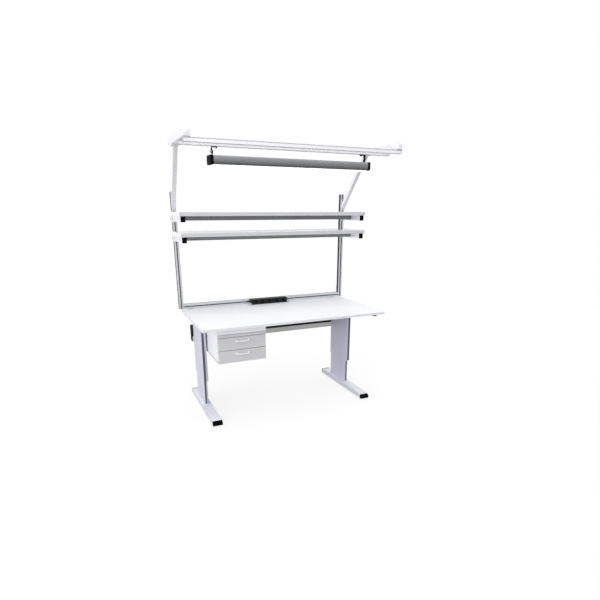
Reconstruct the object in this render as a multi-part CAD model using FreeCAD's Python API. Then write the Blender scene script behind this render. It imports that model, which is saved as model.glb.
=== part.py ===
"""Height-adjustable anti-static workbench with uprights, shelves, lamp, tool rails and a drawer unit.

Millimetres, +Z up, +X to the right, +Y to the back. Heights are above the floor.
Places along Y are counted from the table's front edge, and the finished bench is
moved so that its origin lies on the floor under the middle of its box.
What stands on both sides is drawn on the right and mirrored to the left.
"""
import FreeCAD
import Part
import math
import os

# Table top
TABLE_W = 1500.0
TABLE_D = 750.0
TABLE_T = 18.0
TABLE_TOP = 791.0
TABLE_CORNER_R = 6.0
EDGE_BAND_T = 2.0

# Frame under the table top
FRAME_H = 47.0
FRAME_WALL = 2.0
SUPPORT_FRONT = 392.0
SUPPORT_END_T = 4.0
FRAME_RAIL_D = 25.0
FRONT_FRAME_RAIL = 410.0
REAR_FRAME_RAIL = 640.0

# Telescopic legs: the sleeve slides on the column
LEG_X = 655.0
LEG_WALL = 2.0
SLEEVE_W = 36.0
SLEEVE_D = 298.0
SLEEVE_L = 466.0
SLEEVE_FRONT = 412.0
SLEEVE_SLOT = 18.0
COLUMN_W = 27.0
COLUMN_SLOT = 14.0
COLUMN_SET_BACK = 24.0
COLUMN_REAR_GAP = 5.0
COLUMN_BASE_T = 6.0
LIFT_DOWN = 120.0
LIFT_HEADROOM = 6.0
TRIM_T = 3.0
TRIM_RECESS = 1.0
TRIM_GAP = 0.2
GLIDE_H = 36.0
GLIDE_L = 60.0
GLIDE_W = 8.0
GLIDE_INSET = 3.0
GLIDE_END = 4.0
RUN_GAP = 0.3

# Lifting actuators inside the legs
ACTUATOR_R = 10.0
ACTUATOR_WALL = 2.0
ACTUATOR_FLOOR = 8.0
ACTUATOR_GLAND = 12.0
ACTUATOR_HEADROOM = 46.0
MOTOR_W = 20.0
MOTOR_L = 95.0
MOTOR_H = 70.0
ROD_R = 7.0
ROD_L = 426.0

# Feet
FOOT_W = 75.0
FOOT_H = 40.0
FOOT_L = 756.0
FOOT_WALL = 2.5
FOOT_CLEAR = 10.0
FOOT_FRONT = 88.0
FRONT_CAP_L = 40.0
FRONT_CAP_NOSE = 19.0
REAR_CAP_L = 35.0
CAP_PLUG_L = 18.0
CAP_GAP = 0.3
CAP_ROUND = 3.0
COLUMN_BOLT_INSET = 40.0
LEVELLER_FRONT_INSET = 75.0
LEVELLER_REAR_INSET = 75.0
LEVELLER_PAD_R = 20.0
LEVELLER_PAD_H = 5.0
LEVELLER_COLLAR_R = 10.0
LEVELLER_STEM_R = 5.0
LEVELLER_STEM_L = 24.0
STEM_FIT = 0.1

# Fasteners
BOLT_HOLE_GAP = 0.25
M10_R = 5.0
M10_HEAD_R = 8.0
M10_HEAD_H = 6.0
M8_R = 4.0
M8_HEAD_R = 6.5
M8_HEAD_H = 5.5
M6_R = 3.0
M6_HEAD_R = 4.4
M6_HEAD_H = 4.0
M6_NUT_R = 6.0
M6_NUT_H = 5.0

# Cable channel behind the legs
CHANNEL_D = 65.0
CHANNEL_H = 130.0
CHANNEL_LIP = 42.0
CHANNEL_WALL = 2.0
CHANNEL_DROP = 271.0
CHANNEL_CAP_T = 4.0
CHANNEL_SCREW_PITCH = 18.0
CHANNEL_OVERHANG = 7.0

# Slotted aluminium uprights and cross rail
UPRIGHT_X = 745.0
UPRIGHT_S = 35.0
UPRIGHT_L = 912.0
UPRIGHT_GAP = 3.5
UPRIGHT_LIFT = 2.0
UPRIGHT_CAP_T = 3.0
CROSS_S = 40.0
SLOT_MOUTH = 9.0
SLOT_LIP = 3.0
SLOT_CAVITY = 14.0
SLOT_DEPTH = 9.0
CORE_BORE_R = 4.0
NUT_L = 20.0
NUT_GAP = 0.3

# Plates that carry the uprights on the support arms
CARRIER_T = 6.0
CARRIER_FOOT_W = 60.0
CARRIER_H = 97.0
CARRIER_ARM_H = 34.0
CARRIER_BOLT_PITCH = 50.0
CARRIER_BOLT_INSET = 22.0
SUPPORT_BOLT_PITCH = 18.0
SUPPORT_BOLT_L = 9.0

# Socket strip on the table in front of the cross rail
STRIP_X = 10.0
STRIP_L = 335.0
STRIP_D = 44.0
STRIP_H = 45.0
STRIP_ROUND = 4.0
SOCKET_COUNT = 5
SOCKET_PITCH = 64.0
SOCKET_R = 18.0
SOCKET_DEPTH = 16.0
PIN_HOLE_R = 2.5
PIN_HOLE_DEPTH = 12.0
PIN_PITCH = 19.0
STRIP_CLAMP_W = 24.0
STRIP_CLAMP_D = 60.0
STRIP_CLAMP_H = 16.0

# Struts and cantilever arms of the top frame
STRUT_S = 24.0
STRUT_W = 30.0
STRUT_OUT = 2.5
STRUT_LEAN = 12.0
STRUT_WALL = 2.0
STRUT_DROP = 105.0
STRUT_TOP_Y = 415.0
STRUT_PLATE_T = 5.5
STRUT_PLATE_DOWN = 34.0
STRUT_PLATE_UP = 64.0
STRUT_BOLT_EDGE = 7.0
HEAD_PLATE_T = 6.0
HEAD_PLATE_W = 40.0
HEAD_PLATE_EDGE = 2.0
HEAD_PLATE_L = 90.0
HEAD_BOLT_INSET = 9.0
ARM_X = 770.0
CANTILEVER_Z = 2000.0
CANTILEVER_W = 45.0
CANTILEVER_H = 42.0
CANTILEVER_R = 9.0
CANTILEVER_WALL = 2.0
CANTILEVER_FRONT = -45.0
CANTILEVER_REAR = 490.0
CANTILEVER_CAP_T = 6.0

# Tool rails under the cantilever arms
RAIL_OVERHANG = 20.0
RAIL_W = 30.0
RAIL_H = 26.0
RAIL_WALL = 2.5
RAIL_SLOT = 10.0
RAIL_CLAMP_T = 4.0
RAIL_CAP_T = 3.0
FRONT_TOOL_RAIL = -8.0
REAR_TOOL_RAIL = 146.0

# Lamp under the rear tool rail
LAMP_L = 1166.0
LAMP_D = 103.0
LAMP_H = 55.0
LAMP_DROP = 55.0
LAMP_WALL = 2.0
LAMP_CHAMFER = 10.0
LAMP_ROUND = 10.0
LAMP_LIP = 16.0
LAMP_CAP_L = 19.0
LAMP_CAP_PROUD = 1.5
LAMP_CAP_BELOW = 1.0
DIFFUSER_BELOW = 5.0
DIFFUSER_WALL = 2.0
DIFFUSER_FLANGE = 4.0
TUBE_R = 13.0
TUBE_DROP = 33.0
TRAY_H = 10.0
TRAY_MARGIN = 20.0
HOLDER_L = 15.0
HOLDER_W = 22.0
HOLDER_BELOW = 8.0
HOLDER_END_GAP = 12.0

# Lamp hangers
HANGER_X = 575.0
HANGER_W = 26.0
HANGER_T = 3.0
HANGER_REACH = 36.0
HANGER_LIP = 11.0
HANGER_BEND_R = 7.0
PIVOT_ABOVE_LAMP = 25.0
PIVOT_R = 4.0
PIVOT_FIT = 0.06
PIVOT_HEAD_R = 7.0
PIVOT_HEAD_L = 6.0
PIVOT_KNOB_R = 9.0
PIVOT_KNOB_L = 8.0
LUG_BASE_L = 40.0
RAIL_BOLT_HEAD_L = 22.0
RAIL_BOLT_HEAD_W = 14.0
RAIL_BOLT_HEAD_H = 5.0
RAIL_BOLT_NUT_R = 7.0
RAIL_BOLT_NUT_H = 6.0

# Shelves
SHELF_BELOW_STRUT = 4.0
SHELF_PITCH = 146.0
SHELF_OVERHANG = 9.5
SHELF_D = 340.0
SHELF_T = 28.0
SHELF_FRONT = 405.0
SHELF_ROUND = 2.0
SHELF_ARM_W = 33.0
SHELF_ARM_H = 42.0
SHELF_ARM_WALL = 2.5
SHELF_ARM_FRONT = 410.0
SHELF_CAP_L = 10.0
SHELF_PLUG_L = 12.0
GROOVE_W = 4.0
GROOVE_DEPTH = 1.2
SHOE_T = 11.0
SHOE_H = 48.0
SHOE_DROP = 2.0
CHEEK_T = 5.0
CROSSBAR_D = 20.0
CROSSBAR_H = 34.0
CROSSBAR_WALL = 2.0
CROSSBAR_BACK = 155.0

# Drawer unit hung under the table top
CASING_X = -625.0
CASING_W = 365.0
CASING_D = 505.0
CASING_WALL = 2.0
FASCIA_H = 48.0
FASCIA_PROUD = 2.0
FASCIA_T = 8.0
HANG_FLANGE = 20.0
HANG_GAP = 5.0
DRAWER_FRONT = 74.5
DRAWER_FRONT_T = 20.0
DRAWER_FRONT_ROUND = 4.0
DRAWER_REST_GAP = 0.5
DRAWER_GAP = 3.5
PENCIL_FRONT_H = 20.5
DEEP_FRONT_H = 93.5
PENCIL_BOX_H = 13.0
DEEP_BOX_H = 70.0
BOX_ABOVE_FRONT = 7.0
BOX_L = 450.0
BOX_WALL = 1.5
BOX_SIDE_GAP = 13.0
PENCIL_BAR_H = 7.0
DEEP_BAR_H = 22.0
BAR_W = 9.8
BAR_L = 440.0
BAR_START = 5.0
RUNNER_W = 12.0
RUNNER_WALL = 1.5
RUNNER_L = 462.0
RUNNER_START = 3.0
HANDLE_PITCH = 96.0
HANDLE_R = 5.0
HANDLE_REACH = 28.0
HANDLE_BEND_R = 14.0
HANDLE_DROP = 26.5

# Lift control
CONTROL_X = 190.0
CONTROL_FRONT = 440.0
CONTROL_W = 260.0
CONTROL_D = 120.0
CONTROL_H = 40.0
CONTROL_ROUND = 4.0
INLET_W = 28.0
INLET_H = 20.0
INLET_DEPTH = 15.0
HAND_SWITCH_X = 658.0
HAND_SWITCH_FRONT = 6.0
HAND_SWITCH_W = 32.0
HAND_SWITCH_D = 24.0
HAND_SWITCH_H = 12.0
HAND_SWITCH_ROUND = 2.0
BUTTON_W = 9.0
BUTTON_H = 6.0
BUTTON_PITCH = 13.0
BUTTON_PROUD = 2.5
BUTTON_IN = 5.0
BUTTON_POCKET = 8.0

# Levels and faces worked out from the sizes above
FOOT_TOP = FOOT_CLEAR + FOOT_H
UNDERSIDE = TABLE_TOP - TABLE_T
FRAME_Z = UNDERSIDE - FRAME_H
SLEEVE_Z = FRAME_Z - SLEEVE_L
SLEEVE_REAR = SLEEVE_FRONT + SLEEVE_D
SLEEVE_OUT = LEG_X + SLEEVE_W / 2
SLEEVE_IN = LEG_X - SLEEVE_W / 2
COLUMN_TOP = FRAME_Z - LIFT_DOWN - LIFT_HEADROOM
COLUMN_FRONT = SLEEVE_FRONT + COLUMN_SET_BACK
COLUMN_REAR = SLEEVE_REAR - COLUMN_REAR_GAP
COLUMN_MID = (COLUMN_FRONT + COLUMN_REAR) / 2
COLUMN_FLOOR = FOOT_TOP + COLUMN_BASE_T
FOOT_REAR = FOOT_FRONT + FOOT_L
CHANNEL_Z = TABLE_TOP - CHANNEL_DROP
CHANNEL_END = SLEEVE_OUT + CHANNEL_OVERHANG
CHANNEL_SCREW_L = CHANNEL_WALL + LEG_WALL
UPRIGHT_FRONT = TABLE_D + UPRIGHT_GAP
UPRIGHT_Y = UPRIGHT_FRONT + UPRIGHT_S / 2
UPRIGHT_REAR = UPRIGHT_FRONT + UPRIGHT_S
UPRIGHT_Z = TABLE_TOP + UPRIGHT_LIFT
UPRIGHT_OUT = UPRIGHT_X + UPRIGHT_S / 2
UPRIGHT_IN = UPRIGHT_X - UPRIGHT_S / 2
SHELF_W = 2 * (UPRIGHT_OUT + SHELF_OVERHANG)
CROSS_Y = UPRIGHT_REAR - CROSS_S / 2
CROSS_FRONT = CROSS_Y - CROSS_S / 2
STRUT_FACE = UPRIGHT_FRONT - STRUT_PLATE_T
STRUT_BASE = UPRIGHT_Z + UPRIGHT_L - STRUT_DROP
UPPER_SHELF = STRUT_BASE - STRUT_PLATE_DOWN - SHELF_T - SHELF_BELOW_STRUT
LOWER_SHELF = UPPER_SHELF - SHELF_PITCH
HEAD_Z = CANTILEVER_Z - HEAD_PLATE_T
RAIL_L = 2 * (ARM_X + RAIL_OVERHANG)
RAIL_TOP = CANTILEVER_Z - RAIL_CLAMP_T
RAIL_Z = RAIL_TOP - RAIL_H
TOOL_RAILS = [FRONT_TOOL_RAIL, REAR_TOOL_RAIL]
LAMP_TOP = RAIL_Z - LAMP_DROP
LAMP_Z = LAMP_TOP - LAMP_H
LAMP_FRONT = REAR_TOOL_RAIL - LAMP_D / 2
LAMP_REAR = REAR_TOOL_RAIL + LAMP_D / 2
PIVOT_Z = LAMP_TOP + PIVOT_ABOVE_LAMP
CASING_FRONT = DRAWER_FRONT + DRAWER_FRONT_T + DRAWER_REST_GAP
CASING_H = 2 * CASING_WALL + PENCIL_FRONT_H + 2 * DEEP_FRONT_H + 3 * DRAWER_GAP
CASING_Z = FRAME_Z - CASING_H
BENCH_FRONT = CANTILEVER_FRONT
BENCH_MIDDLE = (BENCH_FRONT + FOOT_REAR) / 2

X_AXIS = FreeCAD.Vector(1, 0, 0)
Y_AXIS = FreeCAD.Vector(0, 1, 0)
Z_AXIS = FreeCAD.Vector(0, 0, 1)
ORIGIN = FreeCAD.Vector(0, 0, 0)


def at(x, y, z):
    """Give a point."""
    return FreeCAD.Vector(x, y, z)


def block(x0, x1, y0, y1, z0, z1):
    """Make a box between two corners."""
    return Part.makeBox(x1 - x0, y1 - y0, z1 - z0, at(x0, y0, z0))


def rod(radius, length, start, axis):
    """Make a round bar from a point along an axis."""
    return Part.makeCylinder(radius, length, start, axis)


def pair(shape):
    """Give the left and the right copy of a shape drawn on the right."""
    return [shape.mirror(ORIGIN, X_AXIS), shape]


def round_along(shape, axis, radius):
    """Round the straight edges of a shape that run along an axis."""
    edges = []
    for edge in shape.Edges:
        if isinstance(edge.Curve, Part.Line) and abs(edge.tangentAt(edge.FirstParameter).dot(axis)) > 0.999:
            edges.append(edge)
    return shape.makeFillet(radius, edges)


def prism(points, direction):
    """Extrude a closed outline of straight sides."""
    wire = Part.makePolygon(points + points[:1])
    return Part.Face(wire).extrude(direction)


def arc(start, corner, end, centre):
    """Make a quarter arc between two points, bulging towards the corner."""
    radius = (start - centre).Length
    middle = centre + (corner - centre).normalize() * radius
    return Part.Arc(start, middle, end).toShape()


def line(start, end):
    """Make a straight edge."""
    return Part.LineSegment(start, end).toShape()


def tube_x(x0, x1, y0, y1, z0, z1, wall):
    """Make an open box tube that runs along X."""
    bore = block(x0, x1, y0 + wall, y1 - wall, z0 + wall, z1 - wall)
    return block(x0, x1, y0, y1, z0, z1).cut(bore)


def tube_y(x0, x1, y0, y1, z0, z1, wall):
    """Make an open box tube that runs along Y."""
    bore = block(x0 + wall, x1 - wall, y0, y1, z0 + wall, z1 - wall)
    return block(x0, x1, y0, y1, z0, z1).cut(bore)


def tube_z(x0, x1, y0, y1, z0, z1, wall):
    """Make an open box tube that stands along Z."""
    bore = block(x0 + wall, x1 - wall, y0 + wall, y1 - wall, z0, z1)
    return block(x0, x1, y0, y1, z0, z1).cut(bore)


def slotted_bar(size, length):
    """Make a square bar with a T-slot in each side, from the origin along Z."""
    half = size / 2
    bar = round_along(block(-half, half, -half, half, 0, length), Z_AXIS, 1.5)
    mouth = block(-SLOT_MOUTH / 2, SLOT_MOUTH / 2, half - SLOT_DEPTH, half, 0, length)
    cavity = block(-SLOT_CAVITY / 2, SLOT_CAVITY / 2, half - SLOT_DEPTH, half - SLOT_LIP, 0, length)
    slot = mouth.fuse(cavity)
    for turn in range(4):
        bar = bar.cut(slot.rotated(ORIGIN, Z_AXIS, 90 * turn))
    return bar.cut(rod(CORE_BORE_R, length, ORIGIN, Z_AXIS))


def slot_bolt(face_y, outward, z, grip):
    """Make a bolt with its T-nut in an upright's front (-1) or rear (+1) slot, over a plate of some grip."""
    nut_depth = SLOT_DEPTH - SLOT_LIP - NUT_GAP
    deep = face_y - outward * (SLOT_LIP + nut_depth)
    lip = face_y - outward * SLOT_LIP
    half = SLOT_CAVITY / 2 - NUT_GAP
    nut = block(UPRIGHT_X - half, UPRIGHT_X + half, min(deep, lip), max(deep, lip),
                z - NUT_L / 2, z + NUT_L / 2)
    direction = Y_AXIS * outward
    shank = rod(M8_R, SLOT_LIP + nut_depth + grip, at(UPRIGHT_X, deep, z), direction)
    head = rod(M8_HEAD_R, M8_HEAD_H, at(UPRIGHT_X, face_y + outward * grip, z), direction)
    return nut.fuse([shank, head])


def foot_tube():
    """Make the right foot tube with its bolt and leveller holes."""
    x0 = LEG_X - FOOT_W / 2
    x1 = LEG_X + FOOT_W / 2
    tube = tube_y(x0, x1, FOOT_FRONT + FRONT_CAP_L, FOOT_REAR - REAR_CAP_L, FOOT_CLEAR, FOOT_TOP, FOOT_WALL)
    for y in column_bolt_places():
        tube = tube.cut(rod(M10_R + BOLT_HOLE_GAP, FOOT_WALL, at(LEG_X, y, FOOT_TOP - FOOT_WALL), Z_AXIS))
    for y in leveller_places().values():
        tube = tube.cut(rod(LEVELLER_STEM_R + STEM_FIT, FOOT_WALL, at(LEG_X, y, FOOT_CLEAR), Z_AXIS))
    return tube


def foot_plug(y0, y1):
    """Make the part of a foot cap that sits inside the tube."""
    inset = FOOT_WALL + CAP_GAP
    x0 = LEG_X - FOOT_W / 2 + inset
    x1 = LEG_X + FOOT_W / 2 - inset
    return block(x0, x1, y0, y1, FOOT_CLEAR + inset, FOOT_TOP - inset)


def foot_front_cap():
    """Make the right wedge-shaped front cap."""
    x0 = LEG_X - FOOT_W / 2
    back = FOOT_FRONT + FRONT_CAP_L
    outline = [
        at(x0, back, FOOT_CLEAR),
        at(x0, back, FOOT_TOP),
        at(x0, FOOT_FRONT, FOOT_CLEAR + FRONT_CAP_NOSE),
        at(x0, FOOT_FRONT, FOOT_CLEAR),
    ]
    wedge = prism(outline, X_AXIS * FOOT_W)
    front = [edge for edge in wedge.Edges if edge.BoundBox.YMax < FOOT_FRONT + CAP_GAP]
    return wedge.makeFillet(CAP_ROUND, front).fuse(foot_plug(back, back + CAP_PLUG_L))


def foot_rear_cap():
    """Make the right rear cap."""
    front = FOOT_REAR - REAR_CAP_L
    plate = block(LEG_X - FOOT_W / 2, LEG_X + FOOT_W / 2, front, FOOT_REAR, FOOT_CLEAR, FOOT_TOP)
    rear = [edge for edge in plate.Edges if edge.BoundBox.YMin > FOOT_REAR - CAP_GAP]
    return plate.makeFillet(CAP_ROUND, rear).fuse(foot_plug(front - CAP_PLUG_L, front))


def leveller_places():
    """Give where the levelling feet stand along a foot."""
    return {"front": FOOT_FRONT + LEVELLER_FRONT_INSET, "rear": FOOT_REAR - LEVELLER_REAR_INSET}


def leveller(y):
    """Make a right levelling foot: pad, collar and screwed stem."""
    pad = rod(LEVELLER_PAD_R, LEVELLER_PAD_H, at(LEG_X, y, 0), Z_AXIS)
    pad = pad.makeFillet(2.0, [edge for edge in pad.Edges if edge.BoundBox.ZMin > LEVELLER_PAD_H / 2])
    collar_h = FOOT_CLEAR - RUN_GAP - LEVELLER_PAD_H
    collar = rod(LEVELLER_COLLAR_R, collar_h, at(LEG_X, y, LEVELLER_PAD_H), Z_AXIS)
    stem = rod(LEVELLER_STEM_R, LEVELLER_STEM_L, at(LEG_X, y, FOOT_CLEAR - RUN_GAP), Z_AXIS)
    return pad.fuse([collar, stem])


def column_bolt_places():
    """Give where bolts hold a column on its foot."""
    return [COLUMN_FRONT + COLUMN_BOLT_INSET, COLUMN_REAR - COLUMN_BOLT_INSET]


def column():
    """Make the right inner leg column with its front slot and bolted base."""
    x0 = LEG_X - COLUMN_W / 2
    x1 = LEG_X + COLUMN_W / 2
    body = tube_z(x0, x1, COLUMN_FRONT, COLUMN_REAR, FOOT_TOP, COLUMN_TOP, LEG_WALL)
    slot_end = x1 - LEG_WALL
    slot = block(slot_end - COLUMN_SLOT, slot_end, COLUMN_FRONT, COLUMN_FRONT + LEG_WALL,
                 COLUMN_FLOOR, COLUMN_TOP)
    base = block(x0, x1, COLUMN_FRONT, COLUMN_REAR, FOOT_TOP, COLUMN_FLOOR)
    body = body.cut(slot).fuse(base)
    for y in column_bolt_places():
        body = body.cut(rod(M10_R + BOLT_HOLE_GAP, COLUMN_BASE_T, at(LEG_X, y, FOOT_TOP), Z_AXIS))
    return body.removeSplitter()


def column_bolts():
    """Make the right column's bolts, with their heads inside the foot."""
    bolts = []
    for y in column_bolt_places():
        wall = FOOT_TOP - FOOT_WALL
        head = rod(M10_HEAD_R, M10_HEAD_H, at(LEG_X, y, wall - M10_HEAD_H), Z_AXIS)
        shank = rod(M10_R, FOOT_WALL + COLUMN_BASE_T, at(LEG_X, y, wall), Z_AXIS)
        bolts.append(head.fuse(shank))
    return bolts


def slot_trim(outer, slot, front, z0, z1):
    """Make the strip that fills a right leg's front slot."""
    x1 = outer - LEG_WALL - TRIM_GAP
    x0 = outer - LEG_WALL - slot + TRIM_GAP
    y0 = front + TRIM_RECESS
    return block(x0, x1, y0, y0 + TRIM_T, z0, z1)


def leg_glides(z0, on_column):
    """Make the four pads between a right column and its sleeve, fixed to one of the two."""
    z1 = z0 + GLIDE_H
    side = (SLEEVE_W - COLUMN_W) / 2 - LEG_WALL - RUN_GAP
    rear = COLUMN_REAR_GAP - LEG_WALL - RUN_GAP
    front = COLUMN_SET_BACK - LEG_WALL - RUN_GAP
    shift = 0.0 if on_column else RUN_GAP
    y0 = COLUMN_MID - GLIDE_L / 2
    y1 = COLUMN_MID + GLIDE_L / 2
    right = LEG_X + COLUMN_W / 2 + shift
    left = LEG_X - COLUMN_W / 2 - shift
    back = COLUMN_REAR + shift
    fore = COLUMN_FRONT - shift
    x0 = LEG_X - COLUMN_W / 2 + GLIDE_INSET
    return [
        block(right, right + side, y0, y1, z0, z1),
        block(left - side, left, y0, y1, z0, z1),
        block(x0, x0 + GLIDE_W, back, back + rear, z0, z1),
        block(x0, x0 + GLIDE_W, fore - front, fore, z0, z1),
    ]


def actuator():
    """Make the right actuator's outer tube with its motor housing."""
    top = FRAME_Z - LIFT_DOWN - ACTUATOR_HEADROOM
    length = top - COLUMN_FLOOR
    tube = rod(ACTUATOR_R, length, at(LEG_X, COLUMN_MID, COLUMN_FLOOR), Z_AXIS)
    half = MOTOR_W / 2
    motor = block(LEG_X - half, LEG_X + half, COLUMN_MID, COLUMN_MID + MOTOR_L,
                  COLUMN_FLOOR, COLUMN_FLOOR + MOTOR_H)
    bore_l = length - ACTUATOR_FLOOR - ACTUATOR_GLAND
    floor = COLUMN_FLOOR + ACTUATOR_FLOOR
    bore = rod(ACTUATOR_R - ACTUATOR_WALL, bore_l, at(LEG_X, COLUMN_MID, floor), Z_AXIS)
    gland = rod(ROD_R + RUN_GAP, ACTUATOR_GLAND, at(LEG_X, COLUMN_MID, floor + bore_l), Z_AXIS)
    return tube.fuse(motor).cut(bore).cut(gland)


def actuator_rod():
    """Make the right actuator's rod, which pushes the support arm up."""
    return rod(ROD_R, ROD_L, at(LEG_X, COLUMN_MID, FRAME_Z - ROD_L), Z_AXIS)


def channel_screw_heights():
    """Give the heights of the screws that hold the cable channel on a leg."""
    middle = CHANNEL_Z + CHANNEL_LIP / 2
    return [middle - CHANNEL_SCREW_PITCH / 2, middle + CHANNEL_SCREW_PITCH / 2]


def sleeve():
    """Make the right leg sleeve with its front slot and the cable channel's screw holes."""
    body = tube_z(SLEEVE_IN, SLEEVE_OUT, SLEEVE_FRONT, SLEEVE_REAR, SLEEVE_Z, FRAME_Z, LEG_WALL)
    slot_end = SLEEVE_OUT - LEG_WALL
    body = body.cut(block(slot_end - SLEEVE_SLOT, slot_end, SLEEVE_FRONT, SLEEVE_FRONT + LEG_WALL,
                          SLEEVE_Z, FRAME_Z))
    for z in channel_screw_heights():
        body = body.cut(rod(M6_R + BOLT_HOLE_GAP, LEG_WALL, at(LEG_X, SLEEVE_REAR - LEG_WALL, z), Y_AXIS))
    return body


def support_bolt_places():
    """Give where the carrier plate is bolted to the right support arm's end."""
    return [LEG_X - SUPPORT_BOLT_PITCH / 2, LEG_X + SUPPORT_BOLT_PITCH / 2]


def support_arm():
    """Make the right arm under the table top, with a bolted rear end plate."""
    inner_end = UPRIGHT_REAR - SUPPORT_END_T
    body = tube_y(SLEEVE_IN, SLEEVE_OUT, SUPPORT_FRONT, inner_end, FRAME_Z, UNDERSIDE, FRAME_WALL)
    body = body.fuse(block(SLEEVE_IN, SLEEVE_OUT, inner_end, UPRIGHT_REAR, FRAME_Z, UNDERSIDE))
    for x in support_bolt_places():
        start = at(x, inner_end, FRAME_Z + FRAME_H / 2)
        body = body.cut(rod(M8_R + BOLT_HOLE_GAP, SUPPORT_END_T, start, Y_AXIS))
    return body.removeSplitter()


def frame_rails():
    """Make the two rails that tie the support arms."""
    rails = []
    for y in (FRONT_FRAME_RAIL, REAR_FRAME_RAIL):
        rails.append(tube_x(-SLEEVE_IN, SLEEVE_IN, y, y + FRAME_RAIL_D, FRAME_Z, UNDERSIDE, FRAME_WALL))
    return rails


def table_board():
    """Make the table board inside its edge band."""
    half = TABLE_W / 2 - EDGE_BAND_T
    board = block(-half, half, EDGE_BAND_T, TABLE_D - EDGE_BAND_T, UNDERSIDE, TABLE_TOP)
    return round_along(board, Z_AXIS, TABLE_CORNER_R - EDGE_BAND_T)


def table_edge_band():
    """Make the band round the table board."""
    half = TABLE_W / 2
    outer = round_along(block(-half, half, 0, TABLE_D, UNDERSIDE, TABLE_TOP), Z_AXIS, TABLE_CORNER_R)
    return outer.cut(table_board())


def cable_channel():
    """Make the folded cable channel that is screwed to the backs of the legs."""
    y0 = SLEEVE_REAR
    y1 = SLEEVE_REAR + CHANNEL_D
    z0 = CHANNEL_Z
    outline = [
        at(-CHANNEL_END, y0, z0),
        at(-CHANNEL_END, y1, z0),
        at(-CHANNEL_END, y1, z0 + CHANNEL_H),
        at(-CHANNEL_END, y1 - CHANNEL_WALL, z0 + CHANNEL_H),
        at(-CHANNEL_END, y1 - CHANNEL_WALL, z0 + CHANNEL_WALL),
        at(-CHANNEL_END, y0 + CHANNEL_WALL, z0 + CHANNEL_WALL),
        at(-CHANNEL_END, y0 + CHANNEL_WALL, z0 + CHANNEL_LIP),
        at(-CHANNEL_END, y0, z0 + CHANNEL_LIP),
    ]
    body = prism(outline, X_AXIS * (2 * CHANNEL_END))
    for x in (-LEG_X, LEG_X):
        for z in channel_screw_heights():
            body = body.cut(rod(M6_R + BOLT_HOLE_GAP, CHANNEL_WALL, at(x, y0, z), Y_AXIS))
    return body


def channel_end_cap():
    """Make the cable channel's right end cap."""
    return block(CHANNEL_END, CHANNEL_END + CHANNEL_CAP_T, SLEEVE_REAR, SLEEVE_REAR + CHANNEL_D,
                 CHANNEL_Z, CHANNEL_Z + CHANNEL_H)


def channel_screws():
    """Make the right screws of the cable channel."""
    screws = []
    for z in channel_screw_heights():
        face = SLEEVE_REAR + CHANNEL_WALL
        head = rod(M6_HEAD_R, M6_HEAD_H, at(LEG_X, face, z), Y_AXIS)
        shank = rod(M6_R, CHANNEL_SCREW_L, at(LEG_X, face - CHANNEL_SCREW_L, z), Y_AXIS)
        screws.append(head.fuse(shank))
    return screws


def upright():
    """Make the right slotted upright."""
    return slotted_bar(UPRIGHT_S, UPRIGHT_L).translated(at(UPRIGHT_X, UPRIGHT_Y, UPRIGHT_Z))


def upright_cap():
    """Make the right upright's top cap."""
    half = UPRIGHT_S / 2
    z0 = UPRIGHT_Z + UPRIGHT_L
    cap = block(UPRIGHT_X - half, UPRIGHT_X + half, UPRIGHT_FRONT, UPRIGHT_REAR, z0, z0 + UPRIGHT_CAP_T)
    return round_along(cap, Z_AXIS, 1.5)


def cross_rail():
    """Make the slotted rail between the uprights, just above the table."""
    bar = slotted_bar(CROSS_S, 2 * UPRIGHT_IN).rotated(ORIGIN, Y_AXIS, 90)
    return bar.translated(at(-UPRIGHT_IN, CROSS_Y, UPRIGHT_Z + CROSS_S / 2))


def carrier_bolt_heights():
    """Give the heights of the bolts between a carrier plate and its upright."""
    first = UPRIGHT_Z + CARRIER_BOLT_INSET
    return [first, first + CARRIER_BOLT_PITCH]


def carrier_plate():
    """Make the right plate that carries the upright behind the support arm."""
    y0 = UPRIGHT_REAR
    foot_x = SLEEVE_IN + CARRIER_FOOT_W
    outline = [
        at(SLEEVE_IN, y0, FRAME_Z),
        at(foot_x, y0, FRAME_Z),
        at(foot_x, y0, UPRIGHT_Z),
        at(UPRIGHT_OUT, y0, UPRIGHT_Z),
        at(UPRIGHT_OUT, y0, UPRIGHT_Z + CARRIER_H),
        at(UPRIGHT_IN, y0, UPRIGHT_Z + CARRIER_H),
        at(UPRIGHT_IN, y0, UPRIGHT_Z + CARRIER_ARM_H),
        at(SLEEVE_IN, y0, UPRIGHT_Z + CARRIER_ARM_H),
    ]
    plate = prism(outline, Y_AXIS * CARRIER_T)
    for x in support_bolt_places():
        plate = plate.cut(rod(M8_R + BOLT_HOLE_GAP, CARRIER_T, at(x, y0, FRAME_Z + FRAME_H / 2), Y_AXIS))
    for z in carrier_bolt_heights():
        plate = plate.cut(rod(M8_R + BOLT_HOLE_GAP, CARRIER_T, at(UPRIGHT_X, y0, z), Y_AXIS))
    return plate


def carrier_bolts():
    """Make the right carrier plate's bolts."""
    bolts = [slot_bolt(UPRIGHT_REAR, 1, z, CARRIER_T) for z in carrier_bolt_heights()]
    face = UPRIGHT_REAR + CARRIER_T
    for x in support_bolt_places():
        z = FRAME_Z + FRAME_H / 2
        head = rod(M8_HEAD_R, M8_HEAD_H, at(x, face, z), Y_AXIS)
        length = CARRIER_T + SUPPORT_BOLT_L
        bolts.append(head.fuse(rod(M8_R, length, at(x, face - length, z), Y_AXIS)))
    return bolts


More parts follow.
